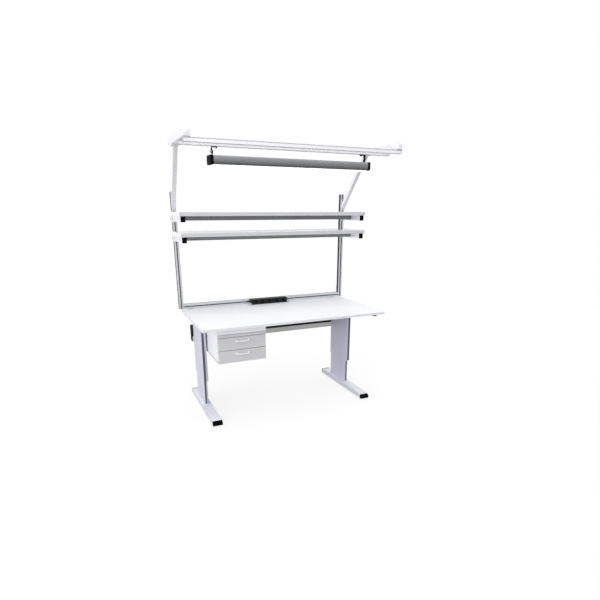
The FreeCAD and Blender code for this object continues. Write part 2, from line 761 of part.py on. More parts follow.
def socket_strip():
    """Make the socket strip with its recessed round sockets and pin holes."""
    front = CROSS_FRONT - STRIP_D
    x0 = STRIP_X - STRIP_L / 2
    body = block(x0, x0 + STRIP_L, front, CROSS_FRONT, TABLE_TOP, TABLE_TOP + STRIP_H)
    top_front = [edge for edge in body.Edges
                 if edge.BoundBox.YMax < front + 1 and edge.BoundBox.ZMin > TABLE_TOP + 1]
    body = body.makeFillet(STRIP_ROUND, top_front)
    z = TABLE_TOP + STRIP_H / 2
    for index in range(SOCKET_COUNT):
        x = STRIP_X + (index - (SOCKET_COUNT - 1) / 2) * SOCKET_PITCH
        body = body.cut(rod(SOCKET_R, SOCKET_DEPTH, at(x, front, z), Y_AXIS))
        for side in (-1, 1):
            pin = at(x + side * PIN_PITCH / 2, front + SOCKET_DEPTH, z)
            body = body.cut(rod(PIN_HOLE_R, PIN_HOLE_DEPTH, pin, Y_AXIS))
    return body


def socket_clamps():
    """Make the blocks that hold the socket strip's ends on the cross rail."""
    clamps = []
    for x0 in (STRIP_X - STRIP_L / 2 - STRIP_CLAMP_W, STRIP_X + STRIP_L / 2):
        clamp = block(x0, x0 + STRIP_CLAMP_W, CROSS_FRONT - STRIP_CLAMP_D, CROSS_FRONT,
                      TABLE_TOP, TABLE_TOP + STRIP_CLAMP_H)
        clamps.append(clamp)
    return clamps


def strut_bar(inset):
    """Make the strut's slanted bar, drawn in all round by an inset, up to the head plate."""
    back = STRUT_FACE - STRUT_TOP_Y
    height = HEAD_Z - STRUT_BASE
    rise = (STRUT_S / 2 - inset) / math.sin(math.atan2(back, height))
    x0 = UPRIGHT_X + STRUT_OUT - STRUT_W / 2 + inset
    x1 = UPRIGHT_X + STRUT_OUT + STRUT_W / 2 - inset
    corners = [
        at(x0, STRUT_FACE, STRUT_BASE - rise),
        at(x1, STRUT_FACE, STRUT_BASE - rise),
        at(x1, STRUT_FACE, STRUT_BASE + rise),
        at(x0, STRUT_FACE, STRUT_BASE + rise),
    ]
    bar = prism(corners, at(STRUT_LEAN, -back, height) * 2)
    return bar.cut(block(x0, x1 + 2 * STRUT_LEAN, STRUT_FACE - 2 * back, STRUT_FACE, HEAD_Z, HEAD_Z + 2 * height))


def strut_bolt_heights():
    """Give the heights of a strut's base plate bolts."""
    low = STRUT_BASE - STRUT_PLATE_DOWN + STRUT_BOLT_EDGE
    high = STRUT_BASE + STRUT_PLATE_UP - STRUT_BOLT_EDGE
    return [low, high]


def head_bolt_places():
    """Give where a strut's head plate is bolted to its cantilever arm."""
    reach = HEAD_PLATE_L / 2 - HEAD_BOLT_INSET
    return [STRUT_TOP_Y - reach, STRUT_TOP_Y + reach]


def strut():
    """Make the right slanted strut: a tube, its base plate and its head plate."""
    half = UPRIGHT_S / 2
    base = block(UPRIGHT_X - half, UPRIGHT_X + half, STRUT_FACE, UPRIGHT_FRONT,
                 STRUT_BASE - STRUT_PLATE_DOWN, STRUT_BASE + STRUT_PLATE_UP)
    for z in strut_bolt_heights():
        base = base.cut(rod(M8_R + BOLT_HOLE_GAP, STRUT_PLATE_T, at(UPRIGHT_X, STRUT_FACE, z), Y_AXIS))
    long = HEAD_PLATE_L / 2
    head = block(UPRIGHT_X - STRUT_S / 2 - HEAD_PLATE_EDGE, ARM_X + HEAD_PLATE_W / 2,
                 STRUT_TOP_Y - long, STRUT_TOP_Y + long, HEAD_Z, CANTILEVER_Z)
    for y in head_bolt_places():
        head = head.cut(rod(M6_R + BOLT_HOLE_GAP, HEAD_PLATE_T, at(ARM_X, y, HEAD_Z), Z_AXIS))
    return [strut_bar(0).cut(strut_bar(STRUT_WALL)), base, head]


def trough_wire(y, closed):
    """Give the cantilever arm's section on a plane of constant y, as a trough or as its filled outline."""
    half = CANTILEVER_W / 2
    left = ARM_X - half
    right = ARM_X + half
    low = CANTILEVER_Z
    top = CANTILEVER_Z + CANTILEVER_H
    bend = low + CANTILEVER_R
    flat_left = left + CANTILEVER_R
    flat_right = right - CANTILEVER_R
    edges = [
        line(at(left, y, top), at(left, y, bend)),
        arc(at(left, y, bend), at(left, y, low), at(flat_left, y, low), at(flat_left, y, bend)),
        line(at(flat_left, y, low), at(flat_right, y, low)),
        arc(at(flat_right, y, low), at(right, y, low), at(right, y, bend), at(flat_right, y, bend)),
        line(at(right, y, bend), at(right, y, top)),
    ]
    if closed:
        edges.append(line(at(right, y, top), at(left, y, top)))
        return Part.Wire(edges)
    wall = CANTILEVER_WALL
    edges += [
        line(at(right, y, top), at(right - wall, y, top)),
        line(at(right - wall, y, top), at(right - wall, y, bend)),
        arc(at(right - wall, y, bend), at(right - wall, y, low + wall),
            at(flat_right, y, low + wall), at(flat_right, y, bend)),
        line(at(flat_right, y, low + wall), at(flat_left, y, low + wall)),
        arc(at(flat_left, y, low + wall), at(left + wall, y, low + wall),
            at(left + wall, y, bend), at(flat_left, y, bend)),
        line(at(left + wall, y, bend), at(left + wall, y, top)),
        line(at(left + wall, y, top), at(left, y, top)),
    ]
    return Part.Wire(edges)


def cantilever_arm():
    """Make the right trough-shaped cantilever arm: a bent floor with bolt holes and two walls."""
    length = CANTILEVER_REAR - CANTILEVER_FRONT
    body = Part.Face(trough_wire(CANTILEVER_FRONT, False)).extrude(Y_AXIS * length)
    for y in head_bolt_places() + TOOL_RAILS:
        body = body.cut(rod(M6_R + BOLT_HOLE_GAP, CANTILEVER_WALL, at(ARM_X, y, CANTILEVER_Z), Z_AXIS))
    half = CANTILEVER_W / 2
    low = block(ARM_X - half, ARM_X + half, CANTILEVER_FRONT, CANTILEVER_REAR,
                CANTILEVER_Z, CANTILEVER_Z + CANTILEVER_R)
    return [body.common(low)] + body.cut(low).Solids


def cantilever_cap():
    """Make the right cantilever arm's rear cap."""
    return Part.Face(trough_wire(CANTILEVER_REAR, True)).extrude(Y_AXIS * CANTILEVER_CAP_T)


def tool_rail(y):
    """Make a tool rail with a slot along its underside."""
    half = RAIL_L / 2
    body = tube_x(-half, half, y - RAIL_W / 2, y + RAIL_W / 2, RAIL_Z, RAIL_TOP, RAIL_WALL)
    body = body.cut(block(-half, half, y - RAIL_SLOT / 2, y + RAIL_SLOT / 2, RAIL_Z, RAIL_Z + RAIL_WALL))
    for x in (-ARM_X, ARM_X):
        body = body.cut(rod(M6_R + BOLT_HOLE_GAP, RAIL_WALL, at(x, y, RAIL_TOP - RAIL_WALL), Z_AXIS))
    return body


def rail_cap(y):
    """Make a tool rail's right end cap."""
    half = RAIL_L / 2
    return block(half, half + RAIL_CAP_T, y - RAIL_W / 2, y + RAIL_W / 2, RAIL_Z, RAIL_TOP)


def rail_clamp(y):
    """Make the plate between a tool rail and the right cantilever arm."""
    half = CANTILEVER_W / 2
    plate = block(ARM_X - half, ARM_X + half, y - RAIL_W / 2, y + RAIL_W / 2, RAIL_TOP, CANTILEVER_Z)
    return plate.cut(rod(M6_R + BOLT_HOLE_GAP, RAIL_CLAMP_T, at(ARM_X, y, RAIL_TOP), Z_AXIS))


def arm_bolt(y, nut_top):
    """Make a bolt through the right cantilever arm's floor with its nut under a face."""
    head_z = CANTILEVER_Z + CANTILEVER_WALL
    head = rod(M6_HEAD_R, M6_HEAD_H, at(ARM_X, y, head_z), Z_AXIS)
    nut_z = nut_top - M6_NUT_H
    shank = rod(M6_R, head_z - nut_z, at(ARM_X, y, nut_z), Z_AXIS)
    nut = rod(M6_NUT_R, M6_NUT_H, at(ARM_X, y, nut_z), Z_AXIS)
    return head.fuse([shank, nut])


def lamp_section(x, grow, below):
    """Give the lamp's outline on a plane of constant x, grown all round and lowered at its underside."""
    front = LAMP_FRONT - grow
    rear = LAMP_REAR + grow
    top = LAMP_TOP + grow
    low = LAMP_Z - below
    r = LAMP_ROUND + grow
    c = LAMP_CHAMFER
    return Part.Wire([
        line(at(x, front + c, low), at(x, rear - c, low)),
        line(at(x, rear - c, low), at(x, rear, low + c)),
        line(at(x, rear, low + c), at(x, rear, top - r)),
        arc(at(x, rear, top - r), at(x, rear, top), at(x, rear - r, top), at(x, rear - r, top - r)),
        line(at(x, rear - r, top), at(x, front + r, top)),
        arc(at(x, front + r, top), at(x, front, top), at(x, front, top - r), at(x, front + r, top - r)),
        line(at(x, front, top - r), at(x, front, low + c)),
        line(at(x, front, low + c), at(x, front + c, low)),
    ])


def lamp_body():
    """Make the lamp's extruded shell, open below."""
    x0 = -LAMP_L / 2
    shell = Part.Face(lamp_section(x0, 0, 0)).extrude(X_AXIS * LAMP_L)
    shell = shell.cut(Part.Face(lamp_section(x0, -LAMP_WALL, -LAMP_WALL)).extrude(X_AXIS * LAMP_L))
    mouth = block(x0, -x0, LAMP_FRONT + LAMP_LIP, LAMP_REAR - LAMP_LIP, LAMP_Z, LAMP_Z + LAMP_WALL)
    return shell.cut(mouth)


def lamp_cap():
    """Make the lamp's right end cap."""
    x0 = LAMP_L / 2
    return Part.Face(lamp_section(x0, LAMP_CAP_PROUD, LAMP_CAP_BELOW)).extrude(X_AXIS * LAMP_CAP_L)


def lamp_diffuser():
    """Make the opal tray that sits in the lamp's mouth on its flanges."""
    x0 = -LAMP_L / 2
    front = LAMP_FRONT + LAMP_LIP + RUN_GAP
    rear = LAMP_REAR - LAMP_LIP - RUN_GAP
    seat = LAMP_Z + LAMP_WALL
    low = LAMP_Z - DIFFUSER_BELOW
    tray = block(x0, -x0, front, rear, low, seat)
    tray = tray.makeFillet(4.0, [edge for edge in tray.Edges
                                 if edge.BoundBox.ZMax < low + 1 and edge.BoundBox.XLength > LAMP_L / 2])
    flange = block(x0, -x0, front - DIFFUSER_FLANGE, rear + DIFFUSER_FLANGE, seat, seat + DIFFUSER_WALL)
    inside = block(x0 + DIFFUSER_WALL, -x0 - DIFFUSER_WALL, front + DIFFUSER_WALL, rear - DIFFUSER_WALL,
                   low + DIFFUSER_WALL, seat + DIFFUSER_WALL)
    return tray.fuse(flange).cut(inside)


def holder_face():
    """Give where the right tube holder meets the tube's end."""
    return LAMP_L / 2 - HOLDER_END_GAP - HOLDER_L


def lamp_gear_tray():
    """Make the gear tray under the lamp's roof with its two tube holders."""
    end = LAMP_L / 2 - HOLDER_END_GAP
    roof = LAMP_TOP - LAMP_WALL
    tray = block(-end, end, LAMP_FRONT + TRAY_MARGIN, LAMP_REAR - TRAY_MARGIN, roof - TRAY_H, roof)
    half = HOLDER_W / 2
    holder = block(holder_face(), end, REAR_TOOL_RAIL - half, REAR_TOOL_RAIL + half,
                   LAMP_TOP - TUBE_DROP - HOLDER_BELOW, roof - TRAY_H)
    return tray.fuse(pair(holder))


def lamp_tube():
    """Make the light tube between its holders."""
    x0 = -holder_face()
    return rod(TUBE_R, -2 * x0, at(x0, REAR_TOOL_RAIL, LAMP_TOP - TUBE_DROP), X_AXIS)


def hanger_plate(x0, z0, z1):
    """Make an upright plate whose round end is centred on the lamp's pivot."""
    half = HANGER_W / 2
    plate = block(x0, x0 + HANGER_T, REAR_TOOL_RAIL - half, REAR_TOOL_RAIL + half, z0, z1)
    return plate.fuse(rod(half, HANGER_T, at(x0, REAR_TOOL_RAIL, PIVOT_Z), X_AXIS))


def lamp_lug():
    """Make the right lug on the lamp's roof, which turns on the pivot."""
    x1 = HANGER_X + HANGER_T
    half = HANGER_W / 2
    base = block(x1 - LUG_BASE_L, x1, REAR_TOOL_RAIL - half, REAR_TOOL_RAIL + half,
                 LAMP_TOP, LAMP_TOP + HANGER_T)
    lug = base.fuse(hanger_plate(HANGER_X, LAMP_TOP, PIVOT_Z)).removeSplitter()
    return lug.cut(rod(PIVOT_R + PIVOT_FIT, HANGER_T, at(HANGER_X, REAR_TOOL_RAIL, PIVOT_Z), X_AXIS))


def hanger_plane():
    """Give the inner face of the right hanger's upright plate, beside the lamp's lug."""
    return HANGER_X + HANGER_T + RUN_GAP


def lamp_hanger():
    """Make the right hook-shaped hanger under the rear tool rail."""
    x0 = hanger_plane()
    x1 = x0 + HANGER_T
    half = HANGER_W / 2
    y0 = REAR_TOOL_RAIL - half
    y1 = REAR_TOOL_RAIL + half
    tip = x1 - HANGER_REACH
    corner = block(tip, x1, y0, y1, PIVOT_Z, RAIL_Z)
    outer = [edge for edge in corner.Edges if edge.BoundBox.XMin > x1 - 1 and edge.BoundBox.ZMin > RAIL_Z - 1]
    corner = corner.makeFillet(HANGER_BEND_R + HANGER_T, outer)
    hollow = block(tip, x0, y0, y1, PIVOT_Z, RAIL_Z - HANGER_T)
    inner = [edge for edge in hollow.Edges
             if edge.BoundBox.XMin > x0 - 1 and edge.BoundBox.ZMin > RAIL_Z - HANGER_T - 1]
    strip = corner.cut(hollow.makeFillet(HANGER_BEND_R, inner))
    lip = block(tip, tip + HANGER_T, y0, y1, RAIL_Z - HANGER_LIP, RAIL_Z)
    hook = strip.fuse([lip, rod(half, HANGER_T, at(x0, REAR_TOOL_RAIL, PIVOT_Z), X_AXIS)]).removeSplitter()
    hook = hook.cut(rod(PIVOT_R + PIVOT_FIT, HANGER_T, at(x0, REAR_TOOL_RAIL, PIVOT_Z), X_AXIS))
    start = at(rail_bolt_x(), REAR_TOOL_RAIL, RAIL_Z - HANGER_T)
    return hook.cut(rod(M8_R + BOLT_HOLE_GAP, HANGER_T, start, Z_AXIS))


def rail_bolt_x():
    """Give where the right hanger is bolted to the rear tool rail."""
    return hanger_plane() + HANGER_T - HANGER_REACH / 2


def hanger_pivot():
    """Make the right pivot pin with its inner head and outer hand nut."""
    inner = HANGER_X - RUN_GAP
    outer = hanger_plane() + HANGER_T
    pin = rod(PIVOT_R, outer - inner, at(inner, REAR_TOOL_RAIL, PIVOT_Z), X_AXIS)
    head = rod(PIVOT_HEAD_R, PIVOT_HEAD_L, at(inner - PIVOT_HEAD_L, REAR_TOOL_RAIL, PIVOT_Z), X_AXIS)
    knob = rod(PIVOT_KNOB_R, PIVOT_KNOB_L, at(outer, REAR_TOOL_RAIL, PIVOT_Z), X_AXIS)
    return pin.fuse([head, knob])


def hanger_rail_bolt():
    """Make the bolt that clamps the right hanger to the rear tool rail's lips."""
    x = rail_bolt_x()
    y = REAR_TOOL_RAIL
    lips = RAIL_Z + RAIL_WALL
    wide = RAIL_BOLT_HEAD_W / 2
    long = RAIL_BOLT_HEAD_L / 2
    head = block(x - wide, x + wide, y - long, y + long, lips, lips + RAIL_BOLT_HEAD_H)
    nut_z = RAIL_Z - HANGER_T - RAIL_BOLT_NUT_H
    shank = rod(M8_R, lips - nut_z, at(x, y, nut_z), Z_AXIS)
    return head.fuse([shank, rod(RAIL_BOLT_NUT_R, RAIL_BOLT_NUT_H, at(x, y, nut_z), Z_AXIS)])


def shelf_panel(z):
    """Make a shelf board that lies on its bracket arms at height z."""
    half = SHELF_W / 2
    board = block(-half, half, SHELF_FRONT, SHELF_FRONT + SHELF_D, z, z + SHELF_T)
    return board.makeFillet(SHELF_ROUND, [edge for edge in board.Edges if edge.BoundBox.ZLength < 1])


def shelf_bracket(z):
    """Make a right shelf bracket: a grooved arm and the shoe that runs on the upright."""
    half = SHELF_ARM_W / 2
    x0 = UPRIGHT_X - half
    x1 = UPRIGHT_X + half
    shoe_rear = UPRIGHT_FRONT - RUN_GAP
    shoe_front = shoe_rear - SHOE_T
    front = SHELF_ARM_FRONT + SHELF_CAP_L
    arm = tube_y(x0, x1, front, shoe_front, z - SHELF_ARM_H, z, SHELF_ARM_WALL)
    middle = z - SHELF_ARM_H / 2
    for groove_x in (x0, x1 - GROOVE_DEPTH):
        arm = arm.cut(block(groove_x, groove_x + GROOVE_DEPTH, front, shoe_front,
                            middle - GROOVE_W / 2, middle + GROOVE_W / 2))
    top = z - SHOE_DROP
    cheek_in = UPRIGHT_OUT + RUN_GAP
    cheek_out = cheek_in + CHEEK_T
    plate = block(UPRIGHT_IN, cheek_out, shoe_front, shoe_rear, top - SHOE_H, top)
    cheek = block(cheek_in, cheek_out, shoe_front, UPRIGHT_REAR, top - SHOE_H, top)
    shoe = plate.fuse(cheek).removeSplitter()
    hole = rod(M8_R + BOLT_HOLE_GAP, CHEEK_T, at(cheek_in, UPRIGHT_Y, top - SHOE_H / 2), X_AXIS)
    return [arm, shoe.cut(hole)]


def shelf_arm_cap(z):
    """Make the plug cap in the front end of a right shelf arm."""
    half = SHELF_ARM_W / 2
    front = SHELF_ARM_FRONT
    rear = front + SHELF_CAP_L
    cap = block(UPRIGHT_X - half, UPRIGHT_X + half, front, rear, z - SHELF_ARM_H, z)
    cap = cap.makeFillet(CAP_ROUND, [edge for edge in cap.Edges if edge.BoundBox.YMax < front + 1])
    inset = SHELF_ARM_WALL + CAP_GAP
    plug = block(UPRIGHT_X - half + inset, UPRIGHT_X + half - inset, rear, rear + SHELF_PLUG_L,
                 z - SHELF_ARM_H + inset, z - inset)
    return cap.fuse(plug)


def shelf_bolt(z):
    """Make a right bracket's bolt with its T-nut in the upright's outer slot."""
    height = z - SHOE_DROP - SHOE_H / 2
    face = UPRIGHT_OUT + RUN_GAP + CHEEK_T
    head = rod(M8_HEAD_R, M8_HEAD_H, at(face, UPRIGHT_Y, height), X_AXIS)
    nut_x1 = UPRIGHT_OUT - SLOT_LIP - NUT_GAP
    nut_x0 = UPRIGHT_OUT - SLOT_DEPTH + NUT_GAP
    half = SLOT_CAVITY / 2 - NUT_GAP
    nut = block(nut_x0, nut_x1, UPRIGHT_Y - half, UPRIGHT_Y + half, height - NUT_L / 2, height + NUT_L / 2)
    return head.fuse([nut, rod(M8_R, face - nut_x0, at(nut_x0, UPRIGHT_Y, height), X_AXIS)])


def shelf_crossbar(z):
    """Make the bar between a shelf's two arms."""
    half = UPRIGHT_X - SHELF_ARM_W / 2
    y0 = SHELF_FRONT + CROSSBAR_BACK
    return tube_x(-half, half, y0, y0 + CROSSBAR_D, z - CROSSBAR_H, z, CROSSBAR_WALL)


def drawer_levels():
    """Give each drawer's front bottom, front height, box height and runner bar height."""
    lower = CASING_Z + CASING_WALL
    upper = lower + DEEP_FRONT_H + DRAWER_GAP
    pencil = upper + DEEP_FRONT_H + DRAWER_GAP
    return {
        "pencil": (pencil, PENCIL_FRONT_H, PENCIL_BOX_H, PENCIL_BAR_H),
        "upper": (upper, DEEP_FRONT_H, DEEP_BOX_H, DEEP_BAR_H),
        "lower": (lower, DEEP_FRONT_H, DEEP_BOX_H, DEEP_BAR_H),
    }


def drawer_casing():
    """Make the drawer unit's casing, open in front, with its fascia and its hanging flanges."""
    x1 = CASING_X + CASING_W
    rear = CASING_FRONT + CASING_D
    wall = CASING_WALL
    shell = block(CASING_X, x1, CASING_FRONT, rear, CASING_Z, FRAME_Z)
    shell = shell.cut(block(CASING_X + wall, x1 - wall, CASING_FRONT, rear - wall,
                            CASING_Z + wall, FRAME_Z - wall))
    roof = block(CASING_X, x1, DRAWER_FRONT, CASING_FRONT + wall, FRAME_Z - wall, FRAME_Z)
    fascia = block(CASING_X - FASCIA_PROUD, x1 + FASCIA_PROUD, DRAWER_FRONT - FASCIA_PROUD,
                   DRAWER_FRONT + FASCIA_T, FRAME_Z - wall, FRAME_Z - wall + FASCIA_H)
    hang_rear = FRONT_FRAME_RAIL - HANG_GAP
    hangs = []
    for side, flange in ((CASING_X, CASING_X), (x1 - wall, x1 - HANG_FLANGE)):
        hangs.append(block(side, side + wall, CASING_FRONT, hang_rear, FRAME_Z, UNDERSIDE))
        hangs.append(block(flange, flange + HANG_FLANGE, CASING_FRONT, hang_rear, UNDERSIDE - wall, UNDERSIDE))
    return shell.fuse([roof, fascia] + hangs).removeSplitter()


def runner_middle(level):
    """Give the height of a drawer's runners."""
    bottom, _, box_h, _ = level
    return bottom + BOX_ABOVE_FRONT + box_h / 2


def drawer_runners():
    """Make the channels on the casing's sides that carry the drawers' bars."""
    runners = []
    y0 = CASING_FRONT + RUNNER_START
    y1 = y0 + RUNNER_L
    for level in drawer_levels().values():
        half = level[3] / 2 + RUN_GAP
        z = runner_middle(level)
        outer = half + RUNNER_WALL
        left = CASING_X + CASING_WALL
        right = CASING_X + CASING_W - CASING_WALL
        left_bore = block(left + RUNNER_WALL, left + RUNNER_W, y0, y1, z - half, z + half)
        runners.append(block(left, left + RUNNER_W, y0, y1, z - outer, z + outer).cut(left_bore))
        right_bore = block(right - RUNNER_W, right - RUNNER_WALL, y0, y1, z - half, z + half)
        runners.append(block(right - RUNNER_W, right, y0, y1, z - outer, z + outer).cut(right_bore))
    return runners


def drawer_front(level):
    """Make a drawer's front panel with rounded front edges."""
    z0, height = level[:2]
    panel = block(CASING_X, CASING_X + CASING_W, DRAWER_FRONT, DRAWER_FRONT + DRAWER_FRONT_T, z0, z0 + height)
    return panel.makeFillet(DRAWER_FRONT_ROUND, [edge for edge in panel.Edges
                                                 if edge.BoundBox.YMax < DRAWER_FRONT + 1
                                                 and edge.BoundBox.ZLength > height / 2])


def drawer_box(level):
    """Make a drawer's open box with the bars that run in its channels."""
    bottom, _, box_h, bar_h = level
    z0 = bottom + BOX_ABOVE_FRONT
    inset = CASING_WALL + BOX_SIDE_GAP
    x0 = CASING_X + inset
    x1 = CASING_X + CASING_W - inset
    y0 = DRAWER_FRONT + DRAWER_FRONT_T
    box = block(x0, x1, y0, y0 + BOX_L, z0, z0 + box_h)
    box = box.cut(block(x0 + BOX_WALL, x1 - BOX_WALL, y0 + BOX_WALL, y0 + BOX_L - BOX_WALL,
                        z0 + BOX_WALL, z0 + box_h))
    bar_y = y0 + BAR_START
    bar_z = runner_middle(level) - bar_h / 2
    left = block(x0 - BAR_W, x0, bar_y, bar_y + BAR_L, bar_z, bar_z + bar_h)
    right = block(x1, x1 + BAR_W, bar_y, bar_y + BAR_L, bar_z, bar_z + bar_h)
    return box.fuse([left, right]).removeSplitter()


def drawer_handle(level):
    """Make a bow handle on a drawer's front."""
    middle = CASING_X + CASING_W / 2
    z = level[0] + level[1] - HANDLE_DROP
    x0 = middle - HANDLE_PITCH / 2
    x1 = middle + HANDLE_PITCH / 2
    near = DRAWER_FRONT - HANDLE_REACH
    bend = near + HANDLE_BEND_R
    r = HANDLE_BEND_R
    path = Part.Wire([
        line(at(x0, DRAWER_FRONT, z), at(x0, bend, z)),
        arc(at(x0, bend, z), at(x0, near, z), at(x0 + r, near, z), at(x0 + r, bend, z)),
        line(at(x0 + r, near, z), at(x1 - r, near, z)),
        arc(at(x1 - r, near, z), at(x1, near, z), at(x1, bend, z), at(x1 - r, bend, z)),
        line(at(x1, bend, z), at(x1, DRAWER_FRONT, z)),
    ])
    section = Part.Wire([Part.makeCircle(HANDLE_R, at(x0, DRAWER_FRONT, z), Y_AXIS)])
    return path.makePipeShell([section], True, False)


def control_box():
    """Make the lift's control box under the table, with a mains inlet in its rear."""
    x0 = CONTROL_X - CONTROL_W / 2
    rear = CONTROL_FRONT + CONTROL_D
    body = block(x0, x0 + CONTROL_W, CONTROL_FRONT, rear, UNDERSIDE - CONTROL_H, UNDERSIDE)
    body = round_along(body, Z_AXIS, CONTROL_ROUND)
    inlet_z = UNDERSIDE - CONTROL_H / 2 - INLET_H / 2
    inlet = block(CONTROL_X - INLET_W / 2, CONTROL_X + INLET_W / 2, rear - INLET_DEPTH, rear,
                  inlet_z, inlet_z + INLET_H)
    return body.cut(inlet)


def button_places():
    """Give where the lift's two buttons sit."""
    return {"up": HAND_SWITCH_X - BUTTON_PITCH / 2, "down": HAND_SWITCH_X + BUTTON_PITCH / 2}


def hand_switch_housing():
    """Make the lift's hand switch under the table's front edge, with a pocket for each button."""
    half = HAND_SWITCH_W / 2
    z0 = UNDERSIDE - HAND_SWITCH_H
    body = block(HAND_SWITCH_X - half, HAND_SWITCH_X + half, HAND_SWITCH_FRONT,
                 HAND_SWITCH_FRONT + HAND_SWITCH_D, z0, UNDERSIDE)
    body = round_along(body, Y_AXIS, HAND_SWITCH_ROUND)
    middle = z0 + HAND_SWITCH_H / 2
    wide = BUTTON_W / 2 + RUN_GAP
    high = BUTTON_H / 2 + RUN_GAP
    for x in button_places().values():
        body = body.cut(block(x - wide, x + wide, HAND_SWITCH_FRONT, HAND_SWITCH_FRONT + BUTTON_POCKET,
                              middle - high, middle + high))
    return body


def lift_button(x):
    """Make one of the lift's push buttons."""
    middle = UNDERSIDE - HAND_SWITCH_H / 2
    front = HAND_SWITCH_FRONT - BUTTON_PROUD
    button = block(x - BUTTON_W / 2, x + BUTTON_W / 2, front, HAND_SWITCH_FRONT + BUTTON_IN,
                   middle - BUTTON_H / 2, middle + BUTTON_H / 2)
    return button.makeFillet(1.0, [edge for edge in button.Edges if edge.BoundBox.YMax < front + 1])


def pairs(shapes):
    """Give the left and the right copies of several shapes drawn on the right."""
    return [copy for shape in shapes for copy in pair(shape)]


def base_pieces():
    """Give the pieces of the base, which stands on the floor."""
    trim = slot_trim(LEG_X + COLUMN_W / 2, COLUMN_SLOT, COLUMN_FRONT, COLUMN_FLOOR, COLUMN_TOP)
    glides = leg_glides(COLUMN_TOP - GLIDE_END - GLIDE_H, True)
    pieces = {
        "foot_tubes": pair(foot_tube()),
        "foot_end_caps": pairs([foot_front_cap(), foot_rear_cap()]),
        "leg_columns": pair(column()),
        "column_inserts": pairs([trim] + glides),
        "lift_actuators": pair(actuator()),
        "column_bolts": pairs(column_bolts()),
    }
    for end, y in leveller_places().items():
        left, right = pair(leveller(y))
        pieces["leveller_" + end + "_left"] = [left]
        pieces["leveller_" + end + "_right"] = [right]
    return pieces


def table_pieces():
    """Give the pieces of the lifted table and its frame."""
    trim = slot_trim(SLEEVE_OUT, SLEEVE_SLOT, SLEEVE_FRONT, SLEEVE_Z, FRAME_Z)
    glides = leg_glides(SLEEVE_Z + GLIDE_END, False)
    return {
        "leg_sleeves": pair(sleeve()),
        "sleeve_inserts": pairs([trim] + glides),
        "actuator_rods": pair(actuator_rod()),
        "support_arms": pair(support_arm()),
        "frame_rails": frame_rails(),
        "table_board": [table_board()],
        "table_edge_band": [table_edge_band()],
        "cable_channel": [cable_channel()],
        "channel_end_caps": pair(channel_end_cap()),
        "control_box": [control_box()],
        "hand_switch_housing": [hand_switch_housing()],
        "socket_strip": [socket_strip()],
        "socket_clamps": socket_clamps(),
    }


def frame_bolts():
    """Make the right bolts, screws and pins of the lifted frame."""
    bolts = carrier_bolts() + channel_screws()
    bolts += [slot_bolt(UPRIGHT_FRONT, -1, z, STRUT_PLATE_T) for z in strut_bolt_heights()]
    bolts += [arm_bolt(y, HEAD_Z) for y in head_bolt_places()]
    bolts += [arm_bolt(y, RAIL_TOP - RAIL_WALL) for y in TOOL_RAILS]
    return bolts + [hanger_pivot(), hanger_rail_bolt()]


def upper_frame_pieces():
    """Give the uprights, the top frame and the fasteners, which rise with the table."""
    return {
        "uprights": pair(upright()),
        "cross_rail": [cross_rail()],
        "mounting_plates": pairs([carrier_plate()] + [rail_clamp(y) for y in TOOL_RAILS]),
        "struts": pairs(strut()),
        "cantilever_arms": pairs(cantilever_arm()),
        "tool_rails": [tool_rail(y) for y in TOOL_RAILS],
        "frame_end_caps": pairs([upright_cap(), cantilever_cap()] + [rail_cap(y) for y in TOOL_RAILS]),
        "frame_bolts": pairs(frame_bolts()),
        "lamp_hangers": pair(lamp_hanger()),
    }


def lamp_pieces():
    """Give the pieces of the lamp."""
    return {
        "lamp_body": [lamp_body()],
        "lamp_end_caps": pair(lamp_cap()),
        "lamp_diffuser": [lamp_diffuser()],
        "lamp_gear_tray": [lamp_gear_tray()],
        "lamp_tube": [lamp_tube()],
        "lamp_lugs": pair(lamp_lug()),
    }


def shelf_pieces(name, z):
    """Give the pieces of one shelf."""
    return {
        name + "_panel": [shelf_panel(z)],
        name + "_brackets": pairs(shelf_bracket(z)),
        name + "_caps": pair(shelf_arm_cap(z)),
        name + "_bolts": pair(shelf_bolt(z)),
        name + "_crossbar": [shelf_crossbar(z)],
    }


def drawer_pieces():
    """Give the drawer unit's pieces."""
    levels = drawer_levels()
    pencil = levels.pop("pencil")
    pieces = {
        "drawer_casing": [drawer_casing()],
        "drawer_runners": drawer_runners(),
        "pencil_drawer": [drawer_front(pencil).fuse(drawer_box(pencil))],
    }
    for name, level in levels.items():
        pieces[name + "_drawer_front"] = [drawer_front(level)]
        pieces[name + "_drawer_box"] = [drawer_box(level)]
        pieces[name + "_drawer_handle"] = [drawer_handle(level)]
    return pieces


def button_pieces():
    """Give the lift's two buttons."""
    return {name + "_button": [lift_button(x)] for name, x in button_places().items()}


def main():
    """Make every piece and write one file for each node."""
    pieces = {}
    pieces.update(base_pieces())
    pieces.update(table_pieces())
    pieces.update(upper_frame_pieces())
    pieces.update(lamp_pieces())
    pieces.update(shelf_pieces("upper_shelf", UPPER_SHELF))
    pieces.update(shelf_pieces("lower_shelf", LOWER_SHELF))
    pieces.update(drawer_pieces())
    pieces.update(button_pieces())
    os.makedirs("parts", exist_ok=True)
    for name, solids in pieces.items():
        shape = solids[0] if len(solids) == 1 else Part.makeCompound(solids)
        shape.translate(at(0, -BENCH_MIDDLE, 0))
        shape.exportStep("parts/" + name + ".step")


main()
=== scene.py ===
"""Looks of the anti-static workbench: finishes, small fittings, studio and camera.

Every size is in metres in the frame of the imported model: +Z up, +X to the user's
right, +Y to the back, with the origin on the floor under the middle of the bench.
"""

import logging
import math
from dataclasses import dataclass, field
from enum import Enum
from typing import Any, Iterable, Sequence

import bmesh
import bpy
from mathutils import Matrix, Vector


